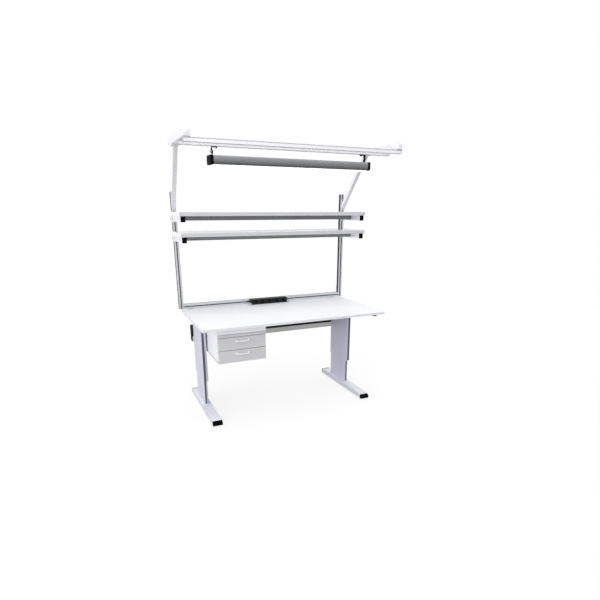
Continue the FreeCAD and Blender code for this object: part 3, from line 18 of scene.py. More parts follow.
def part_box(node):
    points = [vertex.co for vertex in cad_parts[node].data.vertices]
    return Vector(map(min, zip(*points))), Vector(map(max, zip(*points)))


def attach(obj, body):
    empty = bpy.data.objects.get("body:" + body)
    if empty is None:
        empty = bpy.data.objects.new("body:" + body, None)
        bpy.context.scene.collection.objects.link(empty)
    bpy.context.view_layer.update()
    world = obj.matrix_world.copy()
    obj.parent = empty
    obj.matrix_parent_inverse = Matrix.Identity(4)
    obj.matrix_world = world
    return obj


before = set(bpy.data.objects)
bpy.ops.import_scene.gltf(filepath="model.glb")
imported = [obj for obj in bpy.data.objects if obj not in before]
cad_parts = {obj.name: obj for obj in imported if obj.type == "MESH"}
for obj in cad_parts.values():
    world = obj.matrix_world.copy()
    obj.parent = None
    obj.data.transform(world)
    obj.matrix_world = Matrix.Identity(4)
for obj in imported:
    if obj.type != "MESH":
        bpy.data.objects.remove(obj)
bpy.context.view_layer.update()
MM = 0.001
LOG = logging.getLogger("workbench")


class Axis(Enum):
    """A direction: of a turned fitting, a drawn bar, a band or a face."""

    X = (1.0, 0.0, 0.0)
    Y = (0.0, 1.0, 0.0)
    Z = (0.0, 0.0, 1.0)
    BACK_Y = (0.0, -1.0, 0.0)
    BACK_X = (-1.0, 0.0, 0.0)

    def vector(self) -> Vector:
        """Give the direction as a vector."""
        return Vector(self.value)


class Body(Enum):
    """The moving bodies that pieces ride on."""

    TABLE = "table"
    LAMP = "lamp"
    UPPER_SHELF = "upper_shelf"
    LOWER_SHELF = "lower_shelf"
    UPPER_DRAWER = "upper_drawer"
    LOWER_DRAWER = "lower_drawer"
    UP_BUTTON = "lift_up_button"
    DOWN_BUTTON = "lift_down_button"


def linear(hex_code: str) -> tuple[float, float, float, float]:
    """Turn an sRGB hex colour into linear light.

    Args:
        hex_code: Colour written as "#RRGGBB".

    Returns:
        Red, green and blue in linear light, and full alpha.
    """
    channels = []
    for start in (1, 3, 5):
        value = int(hex_code[start:start + 2], 16) / 255.0
        channels.append(value / 12.92 if value <= 0.04045 else ((value + 0.055) / 1.055) ** 2.4)
    return channels[0], channels[1], channels[2], 1.0


def add_node(
    tree: bpy.types.NodeTree,
    kind: str,
    settings: dict[str, Any] | None = None,
    inputs: dict[str | int, Any] | None = None,
) -> bpy.types.Node:
    """Add a node with its settings and inputs.

    Args:
        tree: Node tree that takes the node.
        kind: Blender's name of the node type.
        settings: Attributes of the node.
        inputs: Values of its sockets, or the output sockets linked to them.

    Returns:
        The new node.
    """
    node = tree.nodes.new(kind)
    for name, value in (settings or {}).items():
        setattr(node, name, value)
    for name, value in (inputs or {}).items():
        if isinstance(value, bpy.types.NodeSocket):
            tree.links.new(value, node.inputs[name])
        else:
            node.inputs[name].default_value = value
    return node


@dataclass(frozen=True)
class Surface:
    """The nodes that a finish works on.

    Attributes:
        tree: Node tree of the material.
        shader: Its main shader.
        place: Socket with the place on the piece, in metres.
    """

    tree: bpy.types.NodeTree
    shader: bpy.types.Node
    place: bpy.types.NodeSocket


@dataclass(frozen=True)
class Zone:
    """A band across a piece that has a tone of its own: painted shade on the rails, the channel,
    the lamp and the casing, a real colour on the foot caps.

    Attributes:
        tone: Hex code of the band's colour.
        along: Axis on which the band is measured.
        centre: Place of the band's middle on that axis.
        reach: Half of the band's width.
        soft: Width over which it fades out.
    """

    tone: str
    along: Axis
    centre: float
    reach: float
    soft: float


@dataclass(frozen=True)
class Finish:
    """A material: its name, main colour and the shader values it starts from.

    Attributes:
        name: The real material and how its surface was made.
        colour: Hex code of the main colour.
        roughness: Middle of the roughness.
        metallic: How metallic it is.
        ior: Index of refraction; a metal keeps the shader's own.
        specular: Level of the shader's reflection.
        edge: Radius of the softly broken edges.
        face: Hex code for the faces that look along an axis, or nothing; painted shade on most
            finishes, a real edge band on the shelves.
        face_axis: That axis.
        zone: A band of another tone, or none.
        blend: Mask values between which the second colour comes in.
        spread: How far the roughness goes to each side of its middle.
        depth: Height of the fine relief.
        strength: How strongly the relief shows.
    """

    name: str
    colour: str
    roughness: float
    metallic: float = 0.0
    ior: float = 1.5
    specular: float = 0.5
    edge: float = 0.8 * MM
    face: str = ""
    face_axis: Axis = Axis.Y
    zone: Zone | None = None
    blend: tuple[float, float] = (0.35, 0.85)
    spread: float = 0.05
    depth: float = 0.1 * MM
    strength: float = 0.15

    def make(self) -> bpy.types.Material:
        """Make the material with its pattern.

        Returns:
            The new material.
        """
        material = bpy.data.materials.new(self.name)
        material.use_nodes = True
        tree = material.node_tree
        shader = tree.nodes["Principled BSDF"]
        shader.inputs["Base Color"].default_value = linear(self.colour)
        shader.inputs["Roughness"].default_value = self.roughness
        shader.inputs["Metallic"].default_value = self.metallic
        shader.inputs["Specular IOR Level"].default_value = self.specular
        if not self.metallic:
            shader.inputs["IOR"].default_value = self.ior
        on = Surface(tree, shader, add_node(tree, "ShaderNodeTexCoord").outputs["Object"])
        self.pattern(on)
        if self.zone:
            self.band(on, self.zone)
        if self.face:
            self.paint_face_band_and_shade(on)
        return material

    def pattern(self, on: Surface) -> None:
        """Add what varies over the surface; a plain finish has nothing."""

    def tint(self, on: Surface, mask: bpy.types.NodeSocket, other: str) -> None:
        """Blend the main colour towards another one where a mask is high.

        Args:
            on: Nodes of the surface.
            mask: Socket with the mask.
            other: Hex code of the other colour.
        """
        ramp = add_node(on.tree, "ShaderNodeValToRGB", inputs={"Fac": mask})
        for element, start, code in zip(
            ramp.color_ramp.elements, self.blend, (self.colour, other)
        ):
            element.position = start
            element.color = linear(code)
        on.tree.links.new(ramp.outputs["Color"], on.shader.inputs["Base Color"])

    def gloss(self, on: Surface, mask: bpy.types.NodeSocket) -> None:
        """Let the roughness follow a mask.

        Args:
            on: Nodes of the surface.
            mask: Socket with the mask.
        """
        limits = {"To Min": self.roughness - self.spread, "To Max": self.roughness + self.spread}
        rough = add_node(on.tree, "ShaderNodeMapRange", inputs={"Value": mask, **limits})
        on.tree.links.new(rough.outputs["Result"], on.shader.inputs["Roughness"])

    def relief(self, on: Surface, height: bpy.types.NodeSocket) -> None:
        """Give the surface a fine relief over softly broken edges.

        Args:
            on: Nodes of the surface.
            height: Socket with the relief's height.
        """
        soft = add_node(on.tree, "ShaderNodeBevel", {"samples": 4}, {"Radius": self.edge})
        bump = add_node(
            on.tree,
            "ShaderNodeBump",
            inputs={
                "Strength": self.strength,
                "Distance": self.depth,
                "Height": height,
                "Normal": soft.outputs["Normal"],
            },
        )
        on.tree.links.new(bump.outputs["Normal"], on.shader.inputs["Normal"])

    def patch(
        self, on: Surface, mask: bpy.types.NodeSocket, none: float, full: float, other: str
    ) -> None:
        """Give part of the surface a colour of its own.

        Args:
            on: Nodes of the surface, with its colour already linked.
            mask: Socket with the mask.
            none: Mask value up to which the main colour stays.
            full: Mask value from which the other colour is complete.
            other: Hex code of the other colour.
        """
        colour = on.shader.inputs["Base Color"].links[0].from_socket
        limits = {"From Min": none, "From Max": full}
        share = add_node(on.tree, "ShaderNodeMapRange", inputs={"Value": mask, **limits})
        # Inputs 6 and 7 and output 2 are the node's colour sockets
        mixed = add_node(
            on.tree,
            "ShaderNodeMix",
            {"data_type": "RGBA"},
            {0: share.outputs["Result"], 6: colour, 7: linear(other)},
        )
        on.tree.links.new(mixed.outputs[2], on.shader.inputs["Base Color"])

    def band(self, on: Surface, zone: Zone) -> None:
        """Give a band to each side of a place its own tone.

        Args:
            on: Nodes of the surface, with its colour already linked.
            zone: The band.
        """
        where = add_node(
            on.tree,
            "ShaderNodeVectorMath",
            {"operation": "DOT_PRODUCT"},
            {0: on.place, 1: zone.along.value},
        )
        offset = add_node(
            on.tree,
            "ShaderNodeMath",
            {"operation": "SUBTRACT"},
            {0: where.outputs["Value"], 1: zone.centre},
        )
        away = add_node(
            on.tree, "ShaderNodeMath", {"operation": "ABSOLUTE"}, {0: offset.outputs["Value"]}
        )
        self.patch(on, away.outputs["Value"], zone.reach + zone.soft, zone.reach, zone.tone)

    def paint_face_band_and_shade(self, on: Surface, none: float = 0.6, full: float = 0.8) -> None:
        """Give the faces that look along one axis, either way, a tone of their own: painted shade
        on most finishes, a real edge band on the shelves.

        Args:
            on: Nodes of the surface, with its colour already linked.
            none: Cosine to the axis up to which the main colour stays.
            full: Cosine from which the tone is complete.
        """
        normal = add_node(on.tree, "ShaderNodeTexCoord").outputs["Normal"]
        facing = add_node(
            on.tree,
            "ShaderNodeVectorMath",
            {"operation": "DOT_PRODUCT"},
            {0: normal, 1: self.face_axis.value},
        )
        turned = add_node(
            on.tree, "ShaderNodeMath", {"operation": "ABSOLUTE"}, {0: facing.outputs["Value"]}
        )
        self.patch(on, turned.outputs["Value"], none, full, self.face)


@dataclass(frozen=True, kw_only=True)
class PowderCoat(Finish):
    """Polyester powder coat baked on metal: an even satin skin with a faint orange peel."""

    shade: str
    cloud: float = 300.0 * MM
    peel: float = 3.0 * MM
    depth: float = 0.2 * MM

    def pattern(self, on: Surface) -> None:
        """Add slow colour clouds and the orange peel, drawn coarser than real to show.

        Args:
            on: Nodes of the surface.
        """
        clouds = add_node(
            on.tree, "ShaderNodeTexNoise", inputs={"Vector": on.place, "Scale": 1.0 / self.cloud}
        )
        self.tint(on, clouds.outputs["Fac"], self.shade)
        self.gloss(on, clouds.outputs["Fac"])
        peel = add_node(
            on.tree, "ShaderNodeTexNoise", inputs={"Vector": on.place, "Scale": 1.0 / self.peel}
        )
        self.relief(on, peel.outputs["Fac"])


@dataclass(frozen=True)
class AntiStaticLaminate(Finish):
    """High-pressure laminate with carbon specks: a hard pale sheet with tiny grey flecks."""

    fleck: str = "#D5D8E2"
    fleck_size: float = 4.0 * MM
    fleck_share: float = 0.3
    pearl: float = 2.0 * MM
    blend: tuple[float, float] = (0.25, 1.0)
    spread: float = 0.06
    strength: float = 0.1

    def pattern(self, on: Surface) -> None:
        """Add sparse flecks, drawn coarser than real to show, and a pearl texture.

        Args:
            on: Nodes of the surface.
        """
        flecks = add_node(
            on.tree,
            "ShaderNodeTexVoronoi",
            inputs={"Vector": on.place, "Scale": 1.0 / self.fleck_size},
        )
        limits = {"From Min": 0.0, "From Max": self.fleck_share}
        small = add_node(
            on.tree, "ShaderNodeMapRange", inputs={"Value": flecks.outputs["Distance"], **limits}
        )
        inverse = add_node(
            on.tree,
            "ShaderNodeMath",
            {"operation": "SUBTRACT"},
            {0: 1.0, 1: small.outputs["Result"]},
        )
        self.tint(on, inverse.outputs["Value"], self.fleck)
        pearl = add_node(
            on.tree, "ShaderNodeTexNoise", inputs={"Vector": on.place, "Scale": 1.0 / self.pearl}
        )
        self.gloss(on, pearl.outputs["Fac"])
        self.relief(on, pearl.outputs["Fac"])


@dataclass(frozen=True, kw_only=True)
class MouldedPlastic(Finish):
    """Injection-moulded plastic from an etched tool: matt, with a fine even grain."""

    worn: str
    handled_size: float = 25.0 * MM
    grain: float = 1.5 * MM
    blend: tuple[float, float] = (0.45, 0.9)
    spread: float = 0.08
    depth: float = 0.15 * MM
    strength: float = 0.25

    def pattern(self, on: Surface) -> None:
        """Add handled patches and the etched grain, drawn coarser than real to show.

        Args:
            on: Nodes of the surface.
        """
        handled = add_node(
            on.tree,
            "ShaderNodeTexNoise",
            inputs={"Vector": on.place, "Scale": 1.0 / self.handled_size},
        )
        self.tint(on, handled.outputs["Fac"], self.worn)
        self.gloss(on, handled.outputs["Fac"])
        grain = add_node(
            on.tree, "ShaderNodeTexVoronoi", inputs={"Vector": on.place, "Scale": 1.0 / self.grain}
        )
        self.relief(on, grain.outputs["Distance"])


@dataclass(frozen=True, kw_only=True)
class DrawnAluminium(Finish):
    """Aluminium pressed through a die: silky, with fine lines along the bar and painted shade in
    the grooves.

    Attributes:
        streak: Hex code of the lines.
        line: Width of a line.
        run: Axis along which the bar was drawn.
        stretch: Share of the pattern's scale that is left along the bar.
        groove: Hex code of the painted shade inside the grooves.
        groove_width: Width of the grooves.
        open_sky: Share of open sky down to which the main colour stays.
        closed_sky: Share of open sky at which the grooves' colour is complete.
        rim: Hex code of the sheen at low angles.
    """

    streak: str
    line: float = 2.5 * MM
    run: Axis = Axis.Z
    stretch: float = 0.01
    groove: str = "#1E1F22"
    groove_width: float = 14.0 * MM
    open_sky: float = 0.85
    closed_sky: float = 0.45
    rim: str = "#FFFFFF"
    blend: tuple[float, float] = (0.35, 0.75)
    spread: float = 0.06

    def pattern(self, on: Surface) -> None:
        """Add die lines that run along the bar, drawn wider than real to show, and painted shade
        in the grooves.

        Args:
            on: Nodes of the surface.
        """
        on.shader.inputs["Specular Tint"].default_value = linear(self.rim)
        scale = [(self.stretch if part else 1.0) / self.line for part in self.run.value]
        stretched = add_node(
            on.tree, "ShaderNodeVectorMath", {"operation": "MULTIPLY"}, {0: on.place, 1: scale}
        )
        lines = add_node(
            on.tree,
            "ShaderNodeTexNoise",
            inputs={"Vector": stretched.outputs["Vector"], "Scale": 1.0},
        )
        self.tint(on, lines.outputs["Fac"], self.streak)
        # Painted shade: darker where little open sky reaches, as in the grooves
        sky = add_node(
            on.tree,
            "ShaderNodeAmbientOcclusion",
            {"samples": 8, "only_local": True},
            {"Distance": self.groove_width},
        )
        self.patch(on, sky.outputs["AO"], self.open_sky, self.closed_sky, self.groove)
        self.gloss(on, lines.outputs["Fac"])
        self.relief(on, lines.outputs["Fac"])


@dataclass(frozen=True)
class PlatedMetal(Finish):
    """Plated or rolled small metal parts: bright, with cloudy passivated patches."""

    cloudy: str = "#9DA1A6"
    patch_size: float = 12.0 * MM
    rolled: float = 1.5 * MM
    blend: tuple[float, float] = (0.35, 0.8)
    spread: float = 0.1
    strength: float = 0.12

    def pattern(self, on: Surface) -> None:
        """Add the passivated patches and a faint rolled relief.

        Args:
            on: Nodes of the surface.
        """
        patches = add_node(
            on.tree,
            "ShaderNodeTexNoise",
            inputs={"Vector": on.place, "Scale": 1.0 / self.patch_size},
        )
        self.tint(on, patches.outputs["Fac"], self.cloudy)
        self.gloss(on, patches.outputs["Fac"])
        fine = add_node(
            on.tree, "ShaderNodeTexNoise", inputs={"Vector": on.place, "Scale": 1.0 / self.rolled}
        )
        self.relief(on, fine.outputs["Fac"])


@dataclass(frozen=True)
class OpalAcrylic(Finish):
    """Extruded opal acrylic: a milky cover with fine prisms along the lamp.

    Attributes:
        wave: Width of one band of Blender's wave texture at scale one.
    """

    prism: float = 4.0 * MM
    wave: float = 0.314
    glow: float = 0.6
    clear: float = 0.15
    depth: float = 0.4 * MM
    strength: float = 0.3

    def pattern(self, on: Surface) -> None:
        """Add the prisms and a little scattered light.

        Args:
            on: Nodes of the surface.
        """
        on.shader.inputs["Transmission Weight"].default_value = self.clear
        on.shader.inputs["Emission Color"].default_value = linear(self.colour)
        on.shader.inputs["Emission Strength"].default_value = self.glow
        prisms = add_node(
            on.tree,
            "ShaderNodeTexWave",
            {"wave_type": "BANDS", "bands_direction": "Y"},
            {"Vector": on.place, "Scale": self.wave / self.prism},
        )
        self.gloss(on, prisms.outputs["Fac"])
        self.relief(on, prisms.outputs["Fac"])


@dataclass(frozen=True)
class CoatedGlass(Finish):
    """Glass tube coated inside with phosphor: chalk white under a glossy skin."""

    mottle: str = "#E8EAE6"
    mottle_size: float = 50.0 / 3.0 * MM
    skin: float = 0.6
    blend: tuple[float, float] = (0.3, 0.8)

    def pattern(self, on: Surface) -> None:
        """Add the faint unevenness of the coating and the clear outer skin.

        Args:
            on: Nodes of the surface.
        """
        on.shader.inputs["Coat Weight"].default_value = self.skin
        coating = add_node(
            on.tree,
            "ShaderNodeTexNoise",
            inputs={"Vector": on.place, "Scale": 1.0 / self.mottle_size},
        )
        self.tint(on, coating.outputs["Fac"], self.mottle)
        self.gloss(on, coating.outputs["Fac"])


# Legs and table frame: cool light grey satin, with painted shade on the faces to the front and
# back
FRAME_PAINT = PowderCoat(
    "steel_light_grey_powder_coat", "#D1D0E2", 0.45, shade="#CAC9DC", face="#C6C5D6"
)
# Feet: a paler copy of the legs' coat, its extra lightness painted light for the table's shade,
# with painted shade on their long sides
FOOT_PAINT = PowderCoat(
    "steel_foot_pale_grey_powder_coat",
    "#F5F7FF",
    0.45,
    shade="#EFF1FB",
    face="#D6D8E3",
    face_axis=Axis.X,
)
# Drawer fronts: plain mid grey satin
DRAWER_PAINT = PowderCoat("sheet_steel_grey_powder_coat", "#CDCDD0", 0.48, shade="#C6C6CA")
# Drawer casing: near white satin, with painted shade along its lower edge
CASING_PAINT = PowderCoat(
    "sheet_steel_white_powder_coat",
    "#F5F5FA",
    0.45,
    shade="#EEEEF4",
    zone=Zone("#3E3F44", Axis.Z, 504 * MM, 5 * MM, 1 * MM),
)
# Drawer boxes and the lamp's tray: bright white satin
TRAY_PAINT = PowderCoat("sheet_steel_inside_white_powder_coat", "#F2F2F5", 0.45, shade="#EAEAEF")
# Struts: white satin tube, with painted shade on the faces that look to the front and back
STRUT_PAINT = PowderCoat(
    "steel_tube_white_powder_coat", "#F4F4F8", 0.45, shade="#ECECF1", face="#D2D2D7"
)
# Tool rails: white satin with rounded edges, with painted shade above, below and along the upper
# edge
RAIL_PAINT = PowderCoat(
    "steel_rail_white_powder_coat",
    "#F6F6FA",
    0.4,
    edge=8.0 * MM,
    shade="#EEEEF3",
    face="#C6C6CD",
    face_axis=Axis.Z,
    zone=Zone("#C6C7CE", Axis.Z, 1996 * MM, 6 * MM, 2 * MM),
)
# Bow handles: white satin wire
HANDLE_PAINT = PowderCoat("steel_handle_white_powder_coat", "#EEEEF3", 0.4, shade="#E6E6EC")
# The shelves' cross bars: dark grey satin
BAR_PAINT = PowderCoat("steel_dark_grey_powder_coat", "#7F8083", 0.5, shade="#757679")
# Cable channel: warm pale grey outside, with painted shade inside
CHANNEL_PAINT = PowderCoat(
    "sheet_steel_warm_grey_powder_coat",
    "#DFE0D9",
    0.5,
    shade="#D5D6CF",
    zone=Zone("#3C3D3A", Axis.Y, 343 * MM, 31.2 * MM, 0.4 * MM),
)
# Lamp body: soft-edged grey satin with painted shade towards its lower edge
LAMP_PAINT = PowderCoat(
    "aluminium_grey_powder_coat",
    "#9C9DA0",
    0.4,
    edge=6.0 * MM,
    shade="#949598",
    zone=Zone("#47484B", Axis.Z, 1860 * MM, 5 * MM, 45 * MM),
)
# Table top: cool white, matt enough to show no mirror image
TOP_LAMINATE = AntiStaticLaminate("laminate_anti_static", "#F8FAFE", 0.5)
# Shelves: the same laminate with a sheen at a low angle, and greyer long edges
SHELF_LAMINATE = AntiStaticLaminate(
    "laminate_shelf_anti_static", "#F6F6FA", 0.18, fleck="#E6E7EC", face="#CBCBD2"
)
# Edge band of the table: pale grey strip with a quiet grain
EDGE_BAND = MouldedPlastic("abs_edge_band_extruded", "#E2E3E7", 0.4, worn="#DADBE0")
# Caps, hangers and boxes: deep matt black
BLACK_PLASTIC = MouldedPlastic(
    "nylon_black_moulded", "#040404", 0.6, specular=0.05, worn="#0A0A0B"
)
# Foot caps: matt black in the feet's pale coated lip; the coat's pattern runs on over the
# black, too dark to show there
CAP_PLASTIC = PowderCoat(
    "nylon_black_moulded_in_coated_lip",
    "#040404",
    0.6,
    specular=0.05,
    shade="#0A0A0B",
    zone=Zone("#E8E9F0", Axis.Y, 73.7 * MM, 358.8 * MM, 0.4 * MM),
)
# Socket strip: black with a soft gloss
STRIP_PLASTIC = MouldedPlastic(
    "polycarbonate_black_moulded", "#0E0E10", 0.45, specular=0.3, worn="#141416"
)
# Slot trims and glide pads of the legs: dark grey
INSERT_PLASTIC = MouldedPlastic(
    "nylon_dark_grey_moulded", "#56565B", 0.5, specular=0.25, worn="#606065"
)
# Clamps, end caps and the lift's switch: mid grey
GREY_PLASTIC = MouldedPlastic("nylon_grey_moulded", "#B9B9BE", 0.45, worn="#A6A6AC")
# Uprights: silver front, with painted shade in the slots and on the sides
UPRIGHT_METAL = DrawnAluminium(
    "aluminium_anodised_upright",
    "#CDCFD3",
    0.35,
    metallic=0.85,
    streak="#BBBDC2",
    face="#6C6D72",
    face_axis=Axis.X,
    rim="#3A3B3F",
)
# Cross rail: silver with lines along its length, and painted shade in its grooves
CROSS_METAL = DrawnAluminium(
    "aluminium_anodised_cross_rail",
    "#D6D8DC",
    0.35,
    metallic=0.85,
    run=Axis.X,
    streak="#C6C8CD",
)
# Cantilever arms and shelf brackets: drawn sections coated white, with painted shade in the
# grooves
ARM_METAL = DrawnAluminium(
    "aluminium_powder_white_arm",
    "#F6F6FA",
    0.4,
    run=Axis.Y,
    streak="#ECECF2",
    groove="#B8B8C0",
    groove_width=6 * MM,
)
# Bolts, rods and runners: cool bright zinc
ZINC = PlatedMetal("steel_zinc_plated", "#C2C5C9", 0.32, metallic=0.95)
# Earth clips of the sockets: warm yellow metal
BRASS_CONTACT = PlatedMetal(
    "brass_rolled_contact", "#C9B27A", 0.3, metallic=0.95, cloudy="#A8925E"
)
# Diffuser of the lamp: milky white
OPAL = OpalAcrylic("acrylic_opal_extruded", "#F4F6F8", 0.35, ior=1.49)
# Tube of the lamp: chalk white
TUBE_GLASS = CoatedGlass("glass_phosphor_coated", "#F6F7F4", 0.25)


class Finishes:
    """Makes each finish once and hands out its material."""

    def __init__(self) -> None:
        """Start with no material made."""
        self.made: dict[str, bpy.types.Material] = {}

    def material(self, finish: Finish) -> bpy.types.Material:
        """Give a finish's material, made at its first use.

        Args:
            finish: The finish.

        Returns:
            Its material.
        """
        if finish.name not in self.made:
            self.made[finish.name] = finish.make()
        return self.made[finish.name]

    def dress(self, finish: Finish, nodes: Iterable[str]) -> None:
        """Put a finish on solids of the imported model.

        Args:
            finish: The finish.
            nodes: Names of the solids' nodes.
        """
        for node in nodes:
            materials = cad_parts[node].data.materials
            materials.clear()
            materials.append(self.material(finish))
            LOG.info("dressed %s with %s", node, finish.name)


FINISHES = Finishes()


class Fitting:
    """A small fitting, turned and cut from closed forms in one mesh."""

    def __init__(self, name: str) -> None:
        """Start an empty mesh.

        Args:
            name: Name of the piece.
        """
        self.name = name
        self.mesh = bmesh.new()

    def turned(
        self,
        outline: Sequence[tuple[float, float]],
        centre: Vector,
        axis: Axis,
        steps: int = 32,
        ring: bool = False,
    ) -> None:
        """Turn an outline round an axis.

        Args:
            outline: Radius and height of each corner; a ring's corners go all round its section.
            centre: Where the axis meets height zero.
            axis: Direction of growing height.
            steps: Sides of the turned form.
            ring: Whether the last corner joins the first.
        """
        turn = Vector((0, 0, 1)).rotation_difference(axis.vector()).to_matrix()
        rows = []
        for radius, height in outline:
            row = []
            for step in range(steps if radius > 0 else 1):
                angle = 2 * math.pi * step / steps
                point = Vector((radius * math.cos(angle), radius * math.sin(angle), height))
                row.append(self.mesh.verts.new(centre + turn @ point))
            rows.append(row)
        pairs = list(zip(rows, rows[1:]))
        if ring:
            pairs.append((rows[-1], rows[0]))
        for lower, upper in pairs:
            for step in range(steps):
                corners = [
                    lower[step % len(lower)],
                    lower[(step + 1) % len(lower)],
                    upper[(step + 1) % len(upper)],
                    upper[step % len(upper)],
                ]
                unique = list(dict.fromkeys(corners))
                if len(unique) > 2:
                    self.mesh.faces.new(unique)

    def block(self, low: Vector, high: Vector, edge: float) -> None:
        """Add a block with broken edges.

        Args:
            low: Its lowest corner.
            high: Its highest corner.
            edge: Width of the broken edges.
        """
        size = high - low
        place = Matrix.Translation((low + high) / 2) @ Matrix.Diagonal((*size, 1.0))
        made = bmesh.ops.create_cube(self.mesh, size=1.0, matrix=place)
        bmesh.ops.bevel(
            self.mesh,
            geom=list({e for v in made["verts"] for e in v.link_edges}),
            offset=edge,
            offset_type="OFFSET",
            segments=2,
            profile=0.6,
            affect="EDGES",
        )

    def wedge(self, corners: Sequence[Vector], depth: Vector) -> None:
        """Add a flat-sided form from an outline and its depth.

        Args:
            corners: Corners of the outline.
            depth: Direction and length of the sides.
        """
        front = [self.mesh.verts.new(corner) for corner in corners]
        back = [self.mesh.verts.new(corner + depth) for corner in corners]
        self.mesh.faces.new(front)
        self.mesh.faces.new(list(reversed(back)))
        for index in range(len(corners)):
            following = (index + 1) % len(corners)
            self.mesh.faces.new([front[index], back[index], back[following], front[following]])

    def place(self, body: Body, finish: Finish, slot: str) -> None:
        """Turn the mesh into a piece that rides on a body.

        Args:
            body: Body that carries the piece.
            finish: Its finish.
            slot: The record's material slot for it; not used.
        """
        bmesh.ops.recalc_face_normals(self.mesh, faces=self.mesh.faces)
        data = bpy.data.meshes.new(self.name)
        self.mesh.to_mesh(data)
        self.mesh.free()
        piece = bpy.data.objects.new(self.name, data)
        bpy.context.scene.collection.objects.link(piece)
        data.materials.append(FINISHES.material(finish))
        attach(piece, body.value)
        LOG.info("built %s on %s", self.name, body.value)


# Section of a plain M8 washer: radius and height of its corners
WASHER = [
    (4.2 * MM, 0.0),
    (8.0 * MM, 0.0),
    (8.0 * MM, 1.0 * MM),
    (7.6 * MM, 1.4 * MM),
    (4.2 * MM, 1.4 * MM),
]
# Section of a socket screw: shares of its head's radius and height
SCREW_HEAD = [
    (0.0, -1.0),
    (1.0, -1.0),
    (1.0, 0.3),
    (0.8, 1.0),
    (0.45, 1.0),
    (0.45, 0.4),
    (0.0, 0.4),
]


def middle(node: str) -> Vector:
    """Give the middle of a solid's box."""
    low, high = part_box(node)
    return (low + high) / 2


class SubAssembly:
    """A group of pieces that is dressed and built together."""

    def dress(self) -> None:
        """Put finishes on the group's solids, if it has any."""

    def build(self) -> None:
        """Add the group's own fittings, if it has any."""


class FeetAndLegs(SubAssembly):
    """The two feet with their legs, caps and levelling pads."""

    def dress(self) -> None:
        """Put the finishes on the base."""
        FINISHES.dress(FOOT_PAINT, ["foot_tubes"])
        FINISHES.dress(FRAME_PAINT, ["leg_columns", "leg_sleeves"])
        FINISHES.dress(CAP_PLASTIC, ["foot_end_caps"])
        FINISHES.dress(INSERT_PLASTIC, ["column_inserts", "sleeve_inserts"])
        ends = [(end, side) for end in ("front", "rear") for side in ("left", "right")]
        FINISHES.dress(BLACK_PLASTIC, [f"leveller_{end}_{side}" for end, side in ends])
        FINISHES.dress(ZINC, ["lift_actuators", "actuator_rods", "column_bolts"])


class TableTop(SubAssembly):
    """The table with its frame, cable channel and lift control."""

    def dress(self) -> None:
        """Put the finishes on the table."""
        FINISHES.dress(TOP_LAMINATE, ["table_board"])
        FINISHES.dress(EDGE_BAND, ["table_edge_band"])
        FINISHES.dress(FRAME_PAINT, ["support_arms", "frame_rails"])
        FINISHES.dress(CHANNEL_PAINT, ["cable_channel"])
        FINISHES.dress(BLACK_PLASTIC, ["channel_end_caps", "control_box"])
        FINISHES.dress(BLACK_PLASTIC, ["up_button", "down_button"])
        FINISHES.dress(GREY_PLASTIC, ["hand_switch_housing"])


@dataclass
class SocketStrip(SubAssembly):
    """The mains strip that stands on the table."""

    count: int = 5
    pitch: float = 64 * MM
    recess: float = 18 * MM
    depth: float = 16 * MM
    rim: float = 2.2 * MM
    proud: float = 0.8 * MM
    pin_pitch: float = 19 * MM
    pin_hole: float = 2.5 * MM
    pin_steps: int = 16
    collar: float = 1.4 * MM
    collar_sunk: float = 0.24 * MM
    clip: Vector = field(default_factory=lambda: Vector((5, 9, 1.4)) * MM)
    clip_inset: float = 0.56 * MM
    clip_edge: float = 0.3 * MM

    def dress(self) -> None:
        """Put the finishes on the strip."""
        FINISHES.dress(STRIP_PLASTIC, ["socket_strip"])
        FINISHES.dress(GREY_PLASTIC, ["socket_clamps"])

    def build(self) -> None:
        """Add the sockets' rims, pin collars and earth clips."""
        low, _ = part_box("socket_strip")
        centre = middle("socket_strip")
        rims = Fitting("socket_rims")
        clips = Fitting("socket_earth_clips")
        outside = self.recess + self.rim
        rim = [
            (self.recess, -self.proud),
            (outside, -self.proud),
            (outside + self.proud, 0.0),
            (outside, self.proud),
            (self.recess, self.proud),
        ]
        collar = [
            (self.pin_hole, -self.proud),
            (self.pin_hole + self.collar, -self.proud),
            (self.pin_hole + self.collar, self.collar_sunk),
            (self.pin_hole, self.collar_sunk),
        ]
        for index in range(self.count):
            x = centre.x + (index - (self.count - 1) / 2) * self.pitch
            face = Vector((x, low.y, centre.z))
            rims.turned(rim, face, Axis.Y, ring=True)
            floor = face + Vector((0, self.depth, 0))
            for side in (-1, 1):
                pin = floor + Vector((side * self.pin_pitch / 2, 0, 0))
                rims.turned(collar, pin, Axis.Y, self.pin_steps, ring=True)
                edge = floor.z + side * (self.recess - self.clip_inset)
                spot = Vector((x, floor.y - self.clip.y / 2, edge))
                clips.block(spot - self.clip / 2, spot + self.clip / 2, self.clip_edge)
        rims.place(Body.TABLE, STRIP_PLASTIC, "black_plastic")
        clips.place(Body.TABLE, BRASS_CONTACT, "zinc_steel")


